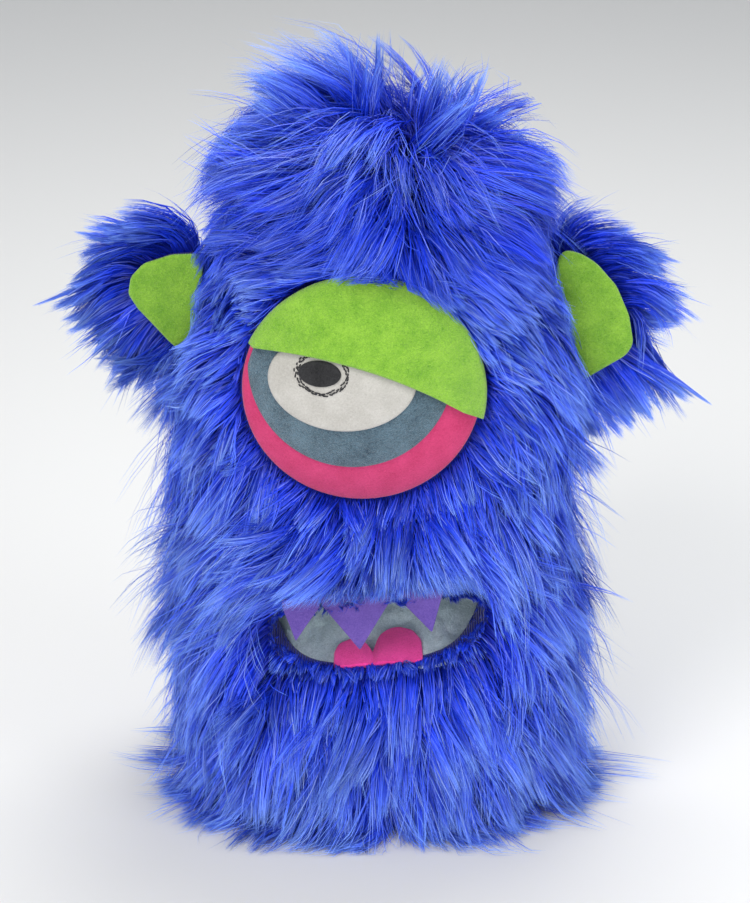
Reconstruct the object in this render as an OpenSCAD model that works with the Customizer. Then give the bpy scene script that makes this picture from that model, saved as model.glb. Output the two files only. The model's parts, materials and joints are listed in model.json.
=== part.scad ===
// Long-pile, one-eyed mouth puppet. A hand goes in at the hem and works the two mouth plates.
// Millimetres. The front faces -Y, +Z is up, +X is the viewer's right, and the hem stands on z = 0.

/* [Fur body] */
// Half width of the outer fur at the floor
fur_half_w = 110; // [104:1:114]
// Half width of the outer fur at the height where the body begins to taper
waist_half_w = 108; // [102:1:112]
// Height where the body begins to taper
waist_z = 128; // [120:1:140]
// Half width of the outer fur where the crown begins
crown_half_w = 98; // [94:1:102]
// Height where the crown begins to round over
crown_z = 250; // [246:1:256]
// Overall height
overall_h = 392; // [386:1:398]
// Depth of the fur's outline as a share of its width
fur_depth_ratio = 0.85; // [0.83:0.01:0.88]

/* [Sleeve] */
// Half width of the sleeve lining's outside
lining_half_w = 66; // [64:0.5:68]
// Half depth of the sleeve lining's outside
lining_half_d = 54; // [52:0.5:55]
// Thickness of the lining with its seam allowances
lining_t = 3; // [2:0.5:4]
// Height of the turned-up hem
hem_h = 6; // [5:0.5:6.5]
// How far the hem stands out from the lining
hem_out = 4; // [3:0.5:5]

/* [Head] */
// Half width of the stuffed head under the fur
head_half_w = 72; // [70:0.5:74]
// Half depth of the stuffed head under the fur
head_half_d = 55; // [53:0.5:55]
// Height of the top of the stuffing
head_top_z = 346; // [340:1:350]
// Radius of the hand space around the mouth's fold
hand_space_r = 46; // [44:1:50]

/* [Mouth] */
// Height of the mouth's fold, which both plates turn about
hinge_z = 105; // [103:1:107]
// Lean of the mouth's fold, with the viewer's right end higher
mouth_roll = 5; // [0:0.5:6]
// Rise of the upper plate at rest
upper_angle = 16; // [15:0.5:18]
// Fall of the lower plate at rest
lower_angle = 18; // [17:0.5:20]
// Half width of a mouth plate
plate_half_w = 53; // [50:0.5:55]
// Length of a mouth lining from the fold to the lip
plate_reach = 66; // [64:0.5:67]
// Corner radius of a mouth plate
plate_corner_r = 30; // [26:1:34]
// Thickness of the stiff board
board_t = 2.5; // [2:0.1:2.6]
// Thickness of the fleece on the board
mouth_fleece_t = 2; // [1.5:0.1:2.2]
// Radius of the fleece fold
fold_r = 3; // [2:0.5:3.5]
// Half width of the finger pocket
finger_half_w = 44; // [40:1:45]
// Height of the finger pocket
finger_h = 26; // [24:1:27]
// Half width of the thumb pocket
thumb_half_w = 28; // [24:1:32]
// Height of the thumb pocket
thumb_h = 20; // [18:1:21]
// Thickness of the pocket cloth
pocket_t = 2; // [1.5:0.1:2.5]

/* [Teeth and tongue] */
// Thickness of the felt teeth
tooth_t = 2; // [1.5:0.1:2.2]
// Thickness of the felt tongue
tongue_t = 2; // [1.5:0.1:2]
// Height of the teeth's sewn edge over the mouth's fold
tooth_top = 21; // [19:0.5:21]

/* [Eye] */
// Sideways place of the eye's centre
eye_x = -8; // [-10:0.5:-6]
// Height of the eye's centre
eye_z = 235.5; // [234:0.5:237]
// Radius of the round felt disc
eye_r = 59; // [58:0.5:60]
// Radius of the dome that the eye's layers follow
eye_dome_r = 105; // [100:1:120]
// Depth of the disc's foremost point, ahead of the body's middle
eye_front = 78; // [76:0.5:79]
// Radius of the fleece ring's circle
iris_r = 50.5; // [49:0.5:51]
// Half width of the white felt oval
white_half_w = 36.5; // [35:0.5:37]
// Half height of the white felt oval
white_half_h = 25; // [24:0.5:26]
// Half width of the pupil
pupil_half_w = 10.5; // [9:0.5:11]
// Half height of the pupil
pupil_half_h = 6.5; // [6:0.5:7]
// Radius of the arc that the eyelid's lower edge follows
lid_arc_r = 152; // [145:1:160]
// Height of the top of that arc over the eye's centre
lid_arc_top = 25; // [23:0.5:27]

/* [Ears] */
// How far the fur behind each ear reaches from the body's middle
ear_reach = 162; // [158:1:164]
// Height of the ear hinge's middle on the viewer's left
ear_left_z = 262; // [258:1:264]
// Droop of the ear on the viewer's left
ear_left_droop = -3; // [-6:1:0]
// Height of the ear hinge's middle on the viewer's right
ear_right_z = 252; // [250:1:258]
// Droop of the ear on the viewer's right
ear_right_droop = 14; // [10:1:18]
// Half length of the fur behind an ear, outwards
ear_fur_a = 46; // [44:1:48]
// Half thickness of the fur behind an ear
ear_fur_b = 25; // [22:1:26]
// Half height of the fur behind an ear
ear_fur_c = 54; // [50:1:58]
// Thickness of the ear's fleece facing
ear_fleece_t = 2.5; // [2:0.1:3]
// Radius of the rounded root that the ear turns on
ear_root_r = 25; // [24:0.5:26]

/* [Hidden] */

$fn = 72;
// Clearance between parts of different bodies, and between layers of one body
gap = 0.4;
layer_gap = 0.2;
// Past every outline, for cutting
far = 400;
// Angles about the mouth's fold, from straight ahead (0) over the crown (90) to the back (180)
head_from = upper_angle + 2;
head_to = 165;
clear_from = 3;
clear_to = 185.5;
chin_to = -52;
chin_bulge_from = -41.5;
jaw_clear_to = -77;
// The chin turns inside this radius, and the front of the sleeve stays outside it
chin_sweep_r = 95;
jaw_half_w = 76;
fur_fold_clear_r = 7;
lip_r = plate_reach;
board_reach = plate_reach - 1.5;
plate_start = 5;
eye_ball_y = eye_dome_r - eye_front;
disc_t = 2.2;
iris_at = eye_dome_r + layer_gap;
iris_t = 1.5;
white_at = iris_at + iris_t + layer_gap;
white_t = 1.3;
pupil_at = white_at + white_t + layer_gap;
pupil_t = 1.2;
lid_at = pupil_at + pupil_t + layer_gap;
lid_t = 2.5;
ear_fur_out = 30;
ear_wedge = 40;
ear_socket_h = 140;
// The pockets start behind their board and stop short of the fold
pocket_z = 1 + mouth_fleece_t + board_t;
pocket_back = 12;
finger_reach = 61;
thumb_reach = 50;

royal = "#2540d8";
lime = "#8fc83a";
hot_pink = "#e0407c";
teal = "#4c6f86";
lining_grey = "#8aa39f";
violet = "#7350be";

// ---- outlines shared by several parts ----

// A body of revolution squeezed from front to back
module squeezed(ratio) {
    scale([1, ratio, 1])
        rotate_extrude()
            children();
}

module fur_profile() {
    polygon([
        [0, 2],
        [fur_half_w, 2],
        [waist_half_w, waist_z],
        [crown_half_w, crown_z],
        [0, crown_z]
    ]);
    intersection() {
        translate([0, crown_z])
            scale([crown_half_w, overall_h - crown_z])
                circle(r = 1);
        translate([0, crown_z - 1])
            square([far, far]);
    }
}

module fur_envelope() {
    squeezed(fur_depth_ratio)
        fur_profile();
}

// The stuffed head's outline, grown by a clearance
module head_core(grow) {
    half_w = head_half_w + grow;
    dome_h = head_top_z + grow - crown_z;
    dome = [for (a = [0 : 9 : 90]) [half_w * cos(a), crown_z + dome_h * sin(a)]];
    squeezed((head_half_d + grow) / half_w)
        polygon(concat([[0, 0], [half_w, 0]], dome));
}

// An upright oval post
module oval_post(half_w, half_d, z0, z1) {
    translate([0, 0, z0])
        linear_extrude(height = z1 - z0)
            scale([half_w, half_d])
                circle(r = 1);
}

// The frame of the mouth's fold: X runs along the fold
module at_fold() {
    translate([0, 0, hinge_z])
        rotate([0, -mouth_roll, 0])
            children();
}

module at_upper_plate() {
    at_fold()
        rotate([-upper_angle, 0, 0])
            children();
}

module at_lower_plate() {
    at_fold()
        rotate([lower_angle, 0, 0])
            children();
}

// A wedge about the fold, between two angles from straight ahead
module wedge(from, to, half_w) {
    steps = ceil((to - from) / 40);
    rim = [
        for (i = [0 : steps])
            let (a = from + (to - from) * i / steps)
                [-far * cos(a), far * sin(a)]
    ];
    rotate([90, 0, 90])
        linear_extrude(height = 2 * half_w, center = true)
            polygon(concat([[0, 0]], rim));
}

// A round bar along the fold
module bar(r, half_w) {
    rotate([0, 90, 0])
        cylinder(r = r, h = 2 * half_w, center = true);
}

// The rounded outline of a mouth plate, from the fold out to the lip
module plate_outline(reach, half_w, corner) {
    square_w = half_w - corner;
    translate([-half_w, -(reach - corner)])
        square([2 * half_w, reach - corner - plate_start]);
    translate([-square_w, -reach])
        square([2 * square_w, reach - plate_start]);
    for (side = [-1, 1])
        translate([side * square_w, -(reach - corner)])
            circle(r = corner);
}

module plate_slab(reach, half_w, corner, z0, z1) {
    translate([0, 0, z0])
        linear_extrude(height = z1 - z0)
            intersection() {
                plate_outline(reach, half_w, corner);
                translate([-far, -far])
                    square([2 * far, far - plate_start]);
            }
}

// The frame of the eye: Y runs out of the face backwards, Z is up
module at_eye() {
    translate([eye_x, 0, eye_z])
        children();
}

// A curved layer of the eye between two radii, cut by the outline given as children
module eye_layer(inner, thick) {
    at_eye()
        intersection() {
            translate([0, eye_ball_y, 0])
                difference() {
                    sphere(r = inner + thick);
                    sphere(r = inner);
                }
            rotate([90, 0, 0])
                linear_extrude(height = far)
                    children();
        }
}

// Sideways reach of the ear's fur from its hinge, for a droop
function ear_extent(droop) =
    ear_fur_out * cos(droop)
    + sqrt(pow(ear_fur_a * cos(droop), 2) + pow(ear_fur_c * sin(droop), 2));

// An ear's own frame: its hinge is the Z axis and it points along +X
module at_ear(side, z, droop) {
    mirror([side < 0 ? 1 : 0, 0, 0])
        translate([ear_reach - ear_extent(droop), 0, z])
            children();
}

// Upright posts about both ear hinges, which leave room for the roots
module ear_root_clearance(r) {
    at_ear(-1, ear_left_z, ear_left_droop)
        cylinder(r = r, h = ear_socket_h, center = true);
    at_ear(1, ear_right_z, ear_right_droop)
        cylinder(r = r, h = ear_socket_h, center = true);
}

// ---- sleeve ----

// Everything below the head's sweep and outside the chin's sweep
module sleeve_bounds() {
    difference() {
        children();
        at_fold() {
            wedge(clear_from, clear_to, far);
            intersection() {
                bar(chin_sweep_r + gap, jaw_half_w + gap + 0.2);
                wedge(jaw_clear_to, clear_from + 1, far);
            }
        }
    }
}

module sleeve_fur(front) {
    side_y = front ? -far : 0;
    sleeve_bounds()
        difference() {
            intersection() {
                fur_envelope();
                translate([-far, side_y, -far])
                    cube([2 * far, far, far + hinge_z + 40]);
            }
            oval_post(lining_half_w + layer_gap, lining_half_d + layer_gap, -1, hinge_z + 60);
            oval_post(
                lining_half_w + hem_out + layer_gap,
                lining_half_d + hem_out + layer_gap,
                -1,
                hem_h + layer_gap
            );
            at_fold()
                bar(fur_fold_clear_r, far);
        }
}

module sleeve_fur_front() {
    color(royal)
        sleeve_fur(true);
}

module sleeve_fur_back() {
    color(royal)
        sleeve_fur(false);
}

module sleeve_lining() {
    color(lining_grey)
        sleeve_bounds()
            difference() {
                oval_post(lining_half_w, lining_half_d, hem_h + layer_gap, hinge_z + 20);
                oval_post(lining_half_w - lining_t, lining_half_d - lining_t, 0, hinge_z + 40);
            }
}

module hem_band() {
    color("#1e2f9c")
        difference() {
            intersection() {
                oval_post(lining_half_w + hem_out, lining_half_d + hem_out, -1, hem_h + 1);
                translate([-far, -far, 0])
                    cube([2 * far, 2 * far, hem_h]);
            }
            oval_post(lining_half_w - lining_t, lining_half_d - lining_t, -2, hem_h + 2);
        }
}

module mouth_fold() {
    color(lining_grey)
        at_fold()
            bar(fold_r, lining_half_w - lining_t - 0.6);
}

// ---- head ----

module head_bounds() {
    intersection() {
        children();
        at_fold()
            wedge(head_from, head_to, far);
    }
}

module head_fur(front) {
    side_y = front ? -far : 0;
    head_bounds()
        difference() {
            intersection() {
                fur_envelope();
                translate([-far, side_y, 0])
                    cube([2 * far, far, far]);
            }
            head_core(layer_gap);
            at_fold()
                bar(fur_fold_clear_r, far);
            at_upper_plate()
                plate_slab(lip_r + 0.5, plate_half_w + 0.5, plate_corner_r, -20, 12);
            ear_root_clearance(ear_root_r + gap + 0.2);
            at_upper_plate()
                translate([-finger_half_w - 0.5, -finger_reach - 0.5, 0])
                    cube([2 * finger_half_w + 1, finger_reach, pocket_z + finger_h + 0.5]);
            at_eye()
                rotate([90, 0, 0])
                    cylinder(r = eye_r + 1.7, h = far);
        }
}

module head_fur_front() {
    color(royal)
        head_fur(true);
}

module head_fur_back() {
    color(royal)
        head_fur(false);
}

module head_stuffing() {
    color("#e8e6df")
        difference() {
            intersection() {
                head_core(0);
                at_upper_plate()
                    translate([-far, -far, finger_h + 9])
                        cube([2 * far, 2 * far, far]);
            }
            at_fold() {
                bar(hand_space_r, far);
                wedge(head_to, head_to + 40, far);
            }
            ear_root_clearance(ear_fur_a - ear_fur_out + 4);
        }
}

module face_pad() {
    color("#d8d4c4")
        difference() {
            at_eye()
                intersection() {
                    translate([0, eye_ball_y, 0])
                        sphere(r = eye_dome_r - disc_t - layer_gap);
                    rotate([90, 0, 0])
                        cylinder(r = eye_r - 2, h = far);
                }
            head_core(layer_gap);
        }
}

module eye_disc() {
    color(hot_pink)
        eye_layer(eye_dome_r - disc_t, disc_t)
            circle(r = eye_r);
}

module eye_iris() {
    color(teal)
        eye_layer(iris_at, iris_t)
            intersection() {
                circle(r = eye_r - 1.5);
                translate([-5.5, 14])
                    circle(r = iris_r);
            }
}

module eye_white() {
    color("#dcd7d0")
        eye_layer(white_at, white_t)
            translate([-9.5, 10])
                scale([white_half_w, white_half_h])
                    circle(r = 1);
}

module eye_pupil() {
    color("#202020")
        eye_layer(pupil_at, pupil_t)
            translate([-20.5, 15])
                scale([pupil_half_w, pupil_half_h])
                    circle(r = 1);
}

module pupil_stitch() {
    color("#202020")
        eye_layer(pupil_at, pupil_t / 2)
            translate([-19.5, 14.8])
                difference() {
                    scale([pupil_half_w + 3, pupil_half_h + 5])
                        circle(r = 1);
                    scale([pupil_half_w + 1.8, pupil_half_h + 3.8])
                        circle(r = 1);
                }
}

module eyelid() {
    color(lime)
        eye_layer(lid_at, lid_t)
            difference() {
                circle(r = eye_r + 1.5);
                translate([-44, lid_arc_top - lid_arc_r])
                    circle(r = lid_arc_r);
            }
}

module upper_mouth_board() {
    color("#b9a98a")
        at_upper_plate()
            plate_slab(
                board_reach,
                plate_half_w - 1.5,
                plate_corner_r - 1.5,
                0.8 + mouth_fleece_t,
                0.8 + mouth_fleece_t + board_t
            );
}

module upper_mouth_lining() {
    color(lining_grey)
        at_upper_plate()
            plate_slab(lip_r, plate_half_w, plate_corner_r, 0.6, 0.6 + mouth_fleece_t);
}

module finger_pocket() {
    color("#3a3f70")
        at_upper_plate()
            difference() {
                translate([-finger_half_w, -finger_reach, pocket_z])
                    cube([2 * finger_half_w, finger_reach - pocket_back, finger_h]);
                translate([
                    pocket_t - finger_half_w,
                    pocket_t - finger_reach,
                    pocket_z + pocket_t
                ])
                    cube([
                        2 * (finger_half_w - pocket_t),
                        finger_reach,
                        finger_h - 2 * pocket_t
                    ]);
            }
}

// A felt tooth sewn by its upper edge just outside the lip, given from its left corner
module tooth(width, drop, tip, turn) {
    color(violet)
        at_fold()
            translate([0, -lip_r - 1.5, tooth_top])
                rotate([0, 0, turn])
                    rotate([90, 0, 0])
                        linear_extrude(height = tooth_t)
                            polygon([[0, 0], [tip, -drop], [width, 0]]);
}

module tooth_left() {
    translate([-46, 0, -4.8])
        tooth(19, 18, 5, -4);
}

module tooth_middle() {
    translate([-26.5, 0, -2.8])
        tooth(35, 27, 17, 0);
}

module tooth_right() {
    translate([9, 0, 0])
        tooth(26, 24, 18, 0);
}

// ---- jaw ----

module lower_mouth_board() {
    top = -0.8 - mouth_fleece_t;
    color("#b9a98a")
        at_lower_plate()
            plate_slab(board_reach, plate_half_w - 1.5, plate_corner_r - 1.5, top - board_t, top);
}

module lower_mouth_lining() {
    color(lining_grey)
        at_lower_plate()
            plate_slab(lip_r, plate_half_w, plate_corner_r, -0.6 - mouth_fleece_t, -0.6);
}

module tongue() {
    color(hot_pink)
        at_lower_plate()
            translate([0, 0, -0.5])
                linear_extrude(height = tongue_t)
                    intersection() {
                        union() {
                            translate([-14.5, -54])
                                circle(r = 9);
                            translate([-23.5, -70])
                                square([18, 16]);
                            translate([10, -49.5])
                                circle(r = 11);
                            translate([-1, -70])
                                square([22, 20.5]);
                            translate([-10, -70])
                                square([14, 8]);
                        }
                        plate_outline(lip_r - 0.5, plate_half_w, plate_corner_r);
                    }
}

module thumb_pocket() {
    z0 = -pocket_z - thumb_h;
    color("#3a3f70")
        at_lower_plate()
            difference() {
                translate([-thumb_half_w, -thumb_reach, z0])
                    cube([2 * thumb_half_w, thumb_reach - pocket_back, thumb_h]);
                translate([pocket_t - thumb_half_w, pocket_t - thumb_reach, z0 + pocket_t])
                    cube([2 * (thumb_half_w - pocket_t), thumb_reach, thumb_h - 2 * pocket_t]);
            }
}

module chin_fur() {
    color(royal)
        intersection() {
            fur_envelope();
            at_fold()
                difference() {
                    union() {
                        intersection() {
                            bar(lip_r + 1, jaw_half_w);
                            wedge(chin_to, -lower_angle - 6.5, far);
                        }
                        intersection() {
                            bar(chin_sweep_r, jaw_half_w);
                            wedge(chin_to, chin_bulge_from, far);
                        }
                    }
                    bar(57.5, far);
                }
        }
}

// ---- ears ----

// The fur of an ear: half a flattened egg, flat in front, whose root is rounded about the hinge
module ear_fur(droop) {
    intersection() {
        rotate([0, droop, 0])
            translate([ear_fur_out, -8, 0])
                scale([ear_fur_a, ear_fur_b + 8, ear_fur_c])
                    rotate_extrude(angle = 180)
                        intersection() {
                            circle(r = 1);
                            translate([0, -2])
                                square([2, 4]);
                        }
        union() {
            cylinder(r = ear_root_r, h = 130, center = true);
            linear_extrude(height = 130, center = true)
                polygon([[0, 0], [far, -far * tan(ear_wedge)], [far, far * tan(ear_wedge)]]);
        }
    }
}

// The fleece facing of an ear: a blunt leaf that points outwards
module ear_fleece(droop) {
    translate([0, -8 - layer_gap, 0])
        rotate([90, droop, 0])
            linear_extrude(height = ear_fleece_t)
                intersection() {
                    polygon([
                        [4, 36],
                        [16, 37],
                        [34, 22],
                        [43, 6],
                        [44, -4],
                        [40, -10],
                        [14, -32],
                        [6, -34]
                    ]);
                    square([200, 100], center = true);
                }
}

module ear_left_fur() {
    color(royal)
        at_ear(-1, ear_left_z, ear_left_droop)
            ear_fur(ear_left_droop);
}

module ear_left_fleece() {
    color(lime)
        at_ear(-1, ear_left_z, ear_left_droop)
            ear_fleece(ear_left_droop);
}

module ear_right_fur() {
    color(royal)
        at_ear(1, ear_right_z, ear_right_droop)
            ear_fur(ear_right_droop);
}

module ear_right_fleece() {
    color(lime)
        at_ear(1, ear_right_z, ear_right_droop)
            ear_fleece(ear_right_droop);
}

sleeve_fur_front();
sleeve_fur_back();
sleeve_lining();
hem_band();
mouth_fold();
head_fur_front();
head_fur_back();
head_stuffing();
face_pad();
eye_disc();
eye_iris();
eye_white();
eye_pupil();
pupil_stitch();
eyelid();
upper_mouth_board();
upper_mouth_lining();
finger_pocket();
tooth_left();
tooth_middle();
tooth_right();
lower_mouth_board();
lower_mouth_lining();
tongue();
thumb_pocket();
chin_fur();
ear_left_fur();
ear_left_fleece();
ear_right_fur();
ear_right_fleece();
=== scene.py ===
"""A shaggy one-eyed mouth puppet, put together in the order its maker works: the sleeve and hem,
the hand's pockets and mouth plates, the stuffed head, the fur panels and their pile, then the
ears, the eye, the teeth and the tongue. Metres; the face looks along -Y."""

import json
import math

import bpy
import numpy as np
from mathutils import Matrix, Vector
from mathutils.kdtree import KDTree


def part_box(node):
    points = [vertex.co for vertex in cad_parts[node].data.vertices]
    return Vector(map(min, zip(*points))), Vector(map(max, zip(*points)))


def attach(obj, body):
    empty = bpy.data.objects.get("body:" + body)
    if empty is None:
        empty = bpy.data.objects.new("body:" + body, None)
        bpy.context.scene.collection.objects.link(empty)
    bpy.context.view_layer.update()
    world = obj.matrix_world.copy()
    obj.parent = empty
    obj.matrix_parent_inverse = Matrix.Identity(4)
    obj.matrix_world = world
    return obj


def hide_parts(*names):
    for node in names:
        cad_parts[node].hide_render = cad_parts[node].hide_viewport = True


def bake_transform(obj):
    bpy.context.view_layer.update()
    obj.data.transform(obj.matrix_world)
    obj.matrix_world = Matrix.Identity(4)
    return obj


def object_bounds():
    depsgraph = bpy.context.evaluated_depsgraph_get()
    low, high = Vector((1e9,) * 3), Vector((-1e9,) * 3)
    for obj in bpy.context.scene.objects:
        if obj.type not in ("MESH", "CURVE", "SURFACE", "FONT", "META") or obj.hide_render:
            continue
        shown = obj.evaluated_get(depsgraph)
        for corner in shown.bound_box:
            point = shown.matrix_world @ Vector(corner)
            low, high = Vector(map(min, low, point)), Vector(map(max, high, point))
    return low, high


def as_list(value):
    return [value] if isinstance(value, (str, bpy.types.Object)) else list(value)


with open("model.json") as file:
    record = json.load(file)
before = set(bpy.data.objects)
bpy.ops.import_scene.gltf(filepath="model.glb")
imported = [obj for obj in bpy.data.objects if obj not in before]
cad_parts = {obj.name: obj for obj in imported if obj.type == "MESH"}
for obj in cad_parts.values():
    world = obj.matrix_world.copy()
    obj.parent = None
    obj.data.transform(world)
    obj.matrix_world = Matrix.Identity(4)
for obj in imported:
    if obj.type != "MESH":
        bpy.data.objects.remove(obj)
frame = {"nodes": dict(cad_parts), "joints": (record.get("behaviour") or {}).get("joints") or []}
cad_low, cad_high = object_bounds()
MM = 0.001

# ---- The stage ----
# A pale seamless floor, three large soft lamps and a camera that looks down on the face
# from a little above, as a person sitting over a table sees it.
CAMERA_LIFT = math.radians(22)
CAMERA_AWAY = 2.2
CAMERA_LENS = 172

aim = Vector((-0.0015, 0, 0.178))
camera = bpy.data.objects.new("camera", bpy.data.cameras.new("camera"))
camera.data.lens = CAMERA_LENS
camera.data.sensor_width = 36
camera.location = aim + CAMERA_AWAY * Vector((0, -math.cos(CAMERA_LIFT), math.sin(CAMERA_LIFT)))
camera.rotation_euler = (math.pi / 2 - CAMERA_LIFT, 0, 0)
bpy.context.scene.collection.objects.link(camera)
bpy.context.scene.camera = camera
bpy.context.scene.view_settings.view_transform = "Standard"


def soft_lamp(name, place, size, power, tint):
    lamp = bpy.data.objects.new(name, bpy.data.lights.new(name, "AREA"))
    lamp.data.shape = "DISK"
    lamp.data.size = size
    lamp.data.energy = power
    lamp.data.color = tint
    lamp.location = place
    lamp.rotation_euler = (aim - lamp.location).to_track_quat("-Z", "Y").to_euler()
    bpy.context.scene.collection.objects.link(lamp)


soft_lamp("key_lamp", (-0.55, -1.0, 1.25), 0.7, 12, (1, 0.98, 0.95))
soft_lamp("front_lamp", (-0.25, -1.7, 0.30), 0.8, 11, (1, 0.99, 0.97))
soft_lamp("fill_lamp", (1.1, -0.8, 0.6), 0.9, 7, (0.95, 0.97, 1))
soft_lamp("top_lamp", (0.15, 0.55, 1.35), 0.8, 12, (1, 1, 1))

room = bpy.data.worlds.new("room")
room.use_nodes = True
room.node_tree.nodes["Background"].inputs["Color"].default_value = (0.80, 0.83, 0.88, 1)
room.node_tree.nodes["Background"].inputs["Strength"].default_value = 0.5
bpy.context.scene.world = room


def new_material(name, rough, sheen=0.0, specular=0.5):
    """An empty finish: its nodes, a function that links them, and the shader."""
    made = bpy.data.materials.new(name)
    made.use_nodes = True
    nodes = made.node_tree.nodes
    shader = nodes["Principled BSDF"]
    shader.inputs["Roughness"].default_value = rough
    shader.inputs["Sheen Weight"].default_value = sheen
    shader.inputs["Specular IOR Level"].default_value = specular
    return made, nodes, made.node_tree.links.new, shader


def two_tone(nodes, link, shader, grain, dark, light, low=0.0, high=1.0):
    """Dyes a finish dark where its grain is low and light where it is high."""
    ramp = nodes.new("ShaderNodeValToRGB")
    ends = ramp.color_ramp.elements
    ends[0].position = low
    ends[0].color = (*dark, 1)
    ends[1].position = high
    ends[1].color = (*light, 1)
    link(grain, ramp.inputs["Fac"])
    link(ramp.outputs["Color"], shader.inputs["Base Color"])


def painted_floor():
    made, nodes, link, shader = new_material("floor_paint", 0.85, specular=0.2)
    spots = nodes.new("ShaderNodeTexNoise")
    spots.inputs["Scale"].default_value = 6
    two_tone(nodes, link, shader, spots.outputs["Fac"], (0.74, 0.74, 0.73), (0.80, 0.80, 0.79))
    return made


def seamless_floor():
    """A sheet of card that runs back over the floor and curves up behind."""
    half, near, far, bend = 6.0, -6.0, 2.2, 1.2
    line = [(near, 0.0), (far, 0.0)]
    line += [(far + bend * math.sin(a), bend * (1 - math.cos(a))) for a in np.linspace(0.1, 1.57, 16)]
    line += [(far + bend, 5.0)]
    points = [(side * half, y, z) for y, z in line for side in (-1, 1)]
    faces = [(2 * i, 2 * i + 1, 2 * i + 3, 2 * i + 2) for i in range(len(line) - 1)]
    mesh = bpy.data.meshes.new("floor")
    mesh.from_pydata(points, [], faces)
    mesh.shade_smooth()
    mesh.materials.append(painted_floor())
    floor = bpy.data.objects.new("floor", mesh)
    bpy.context.scene.collection.objects.link(floor)


seamless_floor()

# ---- Sleeve lining and hem ----
# The arm's way in: an oval tube of plain dark-blue cotton, eased and a little puckered,
# with its lower edge turned up twice over itself and topstitched as a thick soft hem.


def new_piece(name, points, faces, material, body=None):
    """A smooth-shaded mesh in its finish, which rides its body."""
    mesh = bpy.data.meshes.new(name)
    mesh.from_pydata([tuple(p) for p in points], [], [tuple(int(i) for i in f) for f in faces])
    mesh.shade_smooth()
    mesh.materials.append(material)
    piece = bpy.data.objects.new(name, mesh)
    bpy.context.scene.collection.objects.link(piece)
    if body:
        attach(piece, body)
    return piece


def raised(nodes, link, shader, height, depth, strength=1.0):
    """Lifts a finish's surface by up to depth where height is 1."""
    bump = nodes.new("ShaderNodeBump")
    bump.inputs["Distance"].default_value = depth
    bump.inputs["Strength"].default_value = strength
    link(height, bump.inputs["Height"])
    link(bump.outputs["Normal"], shader.inputs["Normal"])


def woven_cotton(name, dark, light):
    """Plain weave: two sets of fine threads that cross, slightly unevenly dyed."""
    made, nodes, link, shader = new_material(name, 0.85, sheen=0.15, specular=0.25)
    place = nodes.new("ShaderNodeTexCoord")
    threads = []
    for way in ("Z", "X"):
        wave = nodes.new("ShaderNodeTexWave")
        wave.bands_direction = way
        wave.inputs["Scale"].default_value = 420
        wave.inputs["Distortion"].default_value = 1.5
        wave.inputs["Detail"].default_value = 1
        link(place.outputs["Object"], wave.inputs["Vector"])
        threads.append(wave)
    cross = nodes.new("ShaderNodeMath")
    cross.operation = "MULTIPLY"
    link(threads[0].outputs["Fac"], cross.inputs[0])
    link(threads[1].outputs["Fac"], cross.inputs[1])
    cloud = nodes.new("ShaderNodeTexNoise")
    cloud.inputs["Scale"].default_value = 60
    link(place.outputs["Object"], cloud.inputs["Vector"])
    blend = nodes.new("ShaderNodeMath")
    blend.operation = "MULTIPLY_ADD"
    blend.inputs[1].default_value = 0.6
    link(cross.outputs[0], blend.inputs[0])
    link(cloud.outputs["Fac"], blend.inputs[2])
    two_tone(nodes, link, shader, blend.outputs[0], dark, light, low=0.3)
    raised(nodes, link, shader, cross.outputs[0], 0.0003)
    return made


def smooth_noise(points, size, seed):
    """A slow random swell between -1 and 1 over points, whose waves are about size long."""
    dice = np.random.default_rng(seed)
    total = np.zeros(len(points))
    for turn in range(10):
        way = dice.normal(size=3)
        way /= np.linalg.norm(way)
        wave = dice.uniform(0.6, 1.7) * 2 * math.pi / size
        total += np.sin(points @ way * wave + dice.uniform(0, 6.28))
    return total / 4.2


def powered(value, power):
    """A value's size raised to a power, with its sign kept: it squares off a round."""
    return np.sign(value) * np.abs(value) ** power


def tube_faces(rows, around):
    """The faces between rings of points, row by row."""
    faces = []
    for i in range(rows - 1):
        for j in range(around):
            k = (j + 1) % around
            faces.append((i * around + j, i * around + k, (i + 1) * around + k, (i + 1) * around + j))
    return faces


sleeve_cotton = woven_cotton("sleeve_cotton", (0.012, 0.018, 0.10), (0.035, 0.055, 0.24))


def sleeve_tube():
    """The lining: oval below, and cut away above in front where the mouth plates work."""
    low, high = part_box("sleeve_lining")
    half_w, half_d = high.x - 0.0015, high.y - 0.0015
    front_z = 0.052
    rows, around = 36, 120
    fold_z = sum(c.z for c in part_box("mouth_fold")) / 2
    points = []
    for i in range(rows):
        for j in range(around):
            a = 2 * math.pi * j / around
            back = 0.5 + 0.5 * math.sin(a)
            top = front_z + (fold_z - 0.012 - front_z) * min(1, 1.7 * back)
            z = low.z + 0.0005 + (top - low.z) * i / (rows - 1)
            points.append((half_w * math.cos(a), half_d * math.sin(a), z))
    points = np.array(points)
    pucker = smooth_noise(points * np.array([1, 1, 0.35]), 0.018, 3)[:, None]
    points[:, :2] *= 1 - 0.016 * np.abs(pucker)
    faces = tube_faces(rows, around)
    tube = new_piece("lining_tube", points, faces, sleeve_cotton, "sleeve")
    thick = tube.modifiers.new("cloth", "SOLIDIFY")
    thick.thickness = 0.0012
    thick.offset = -1
    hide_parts("sleeve_lining")


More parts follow.
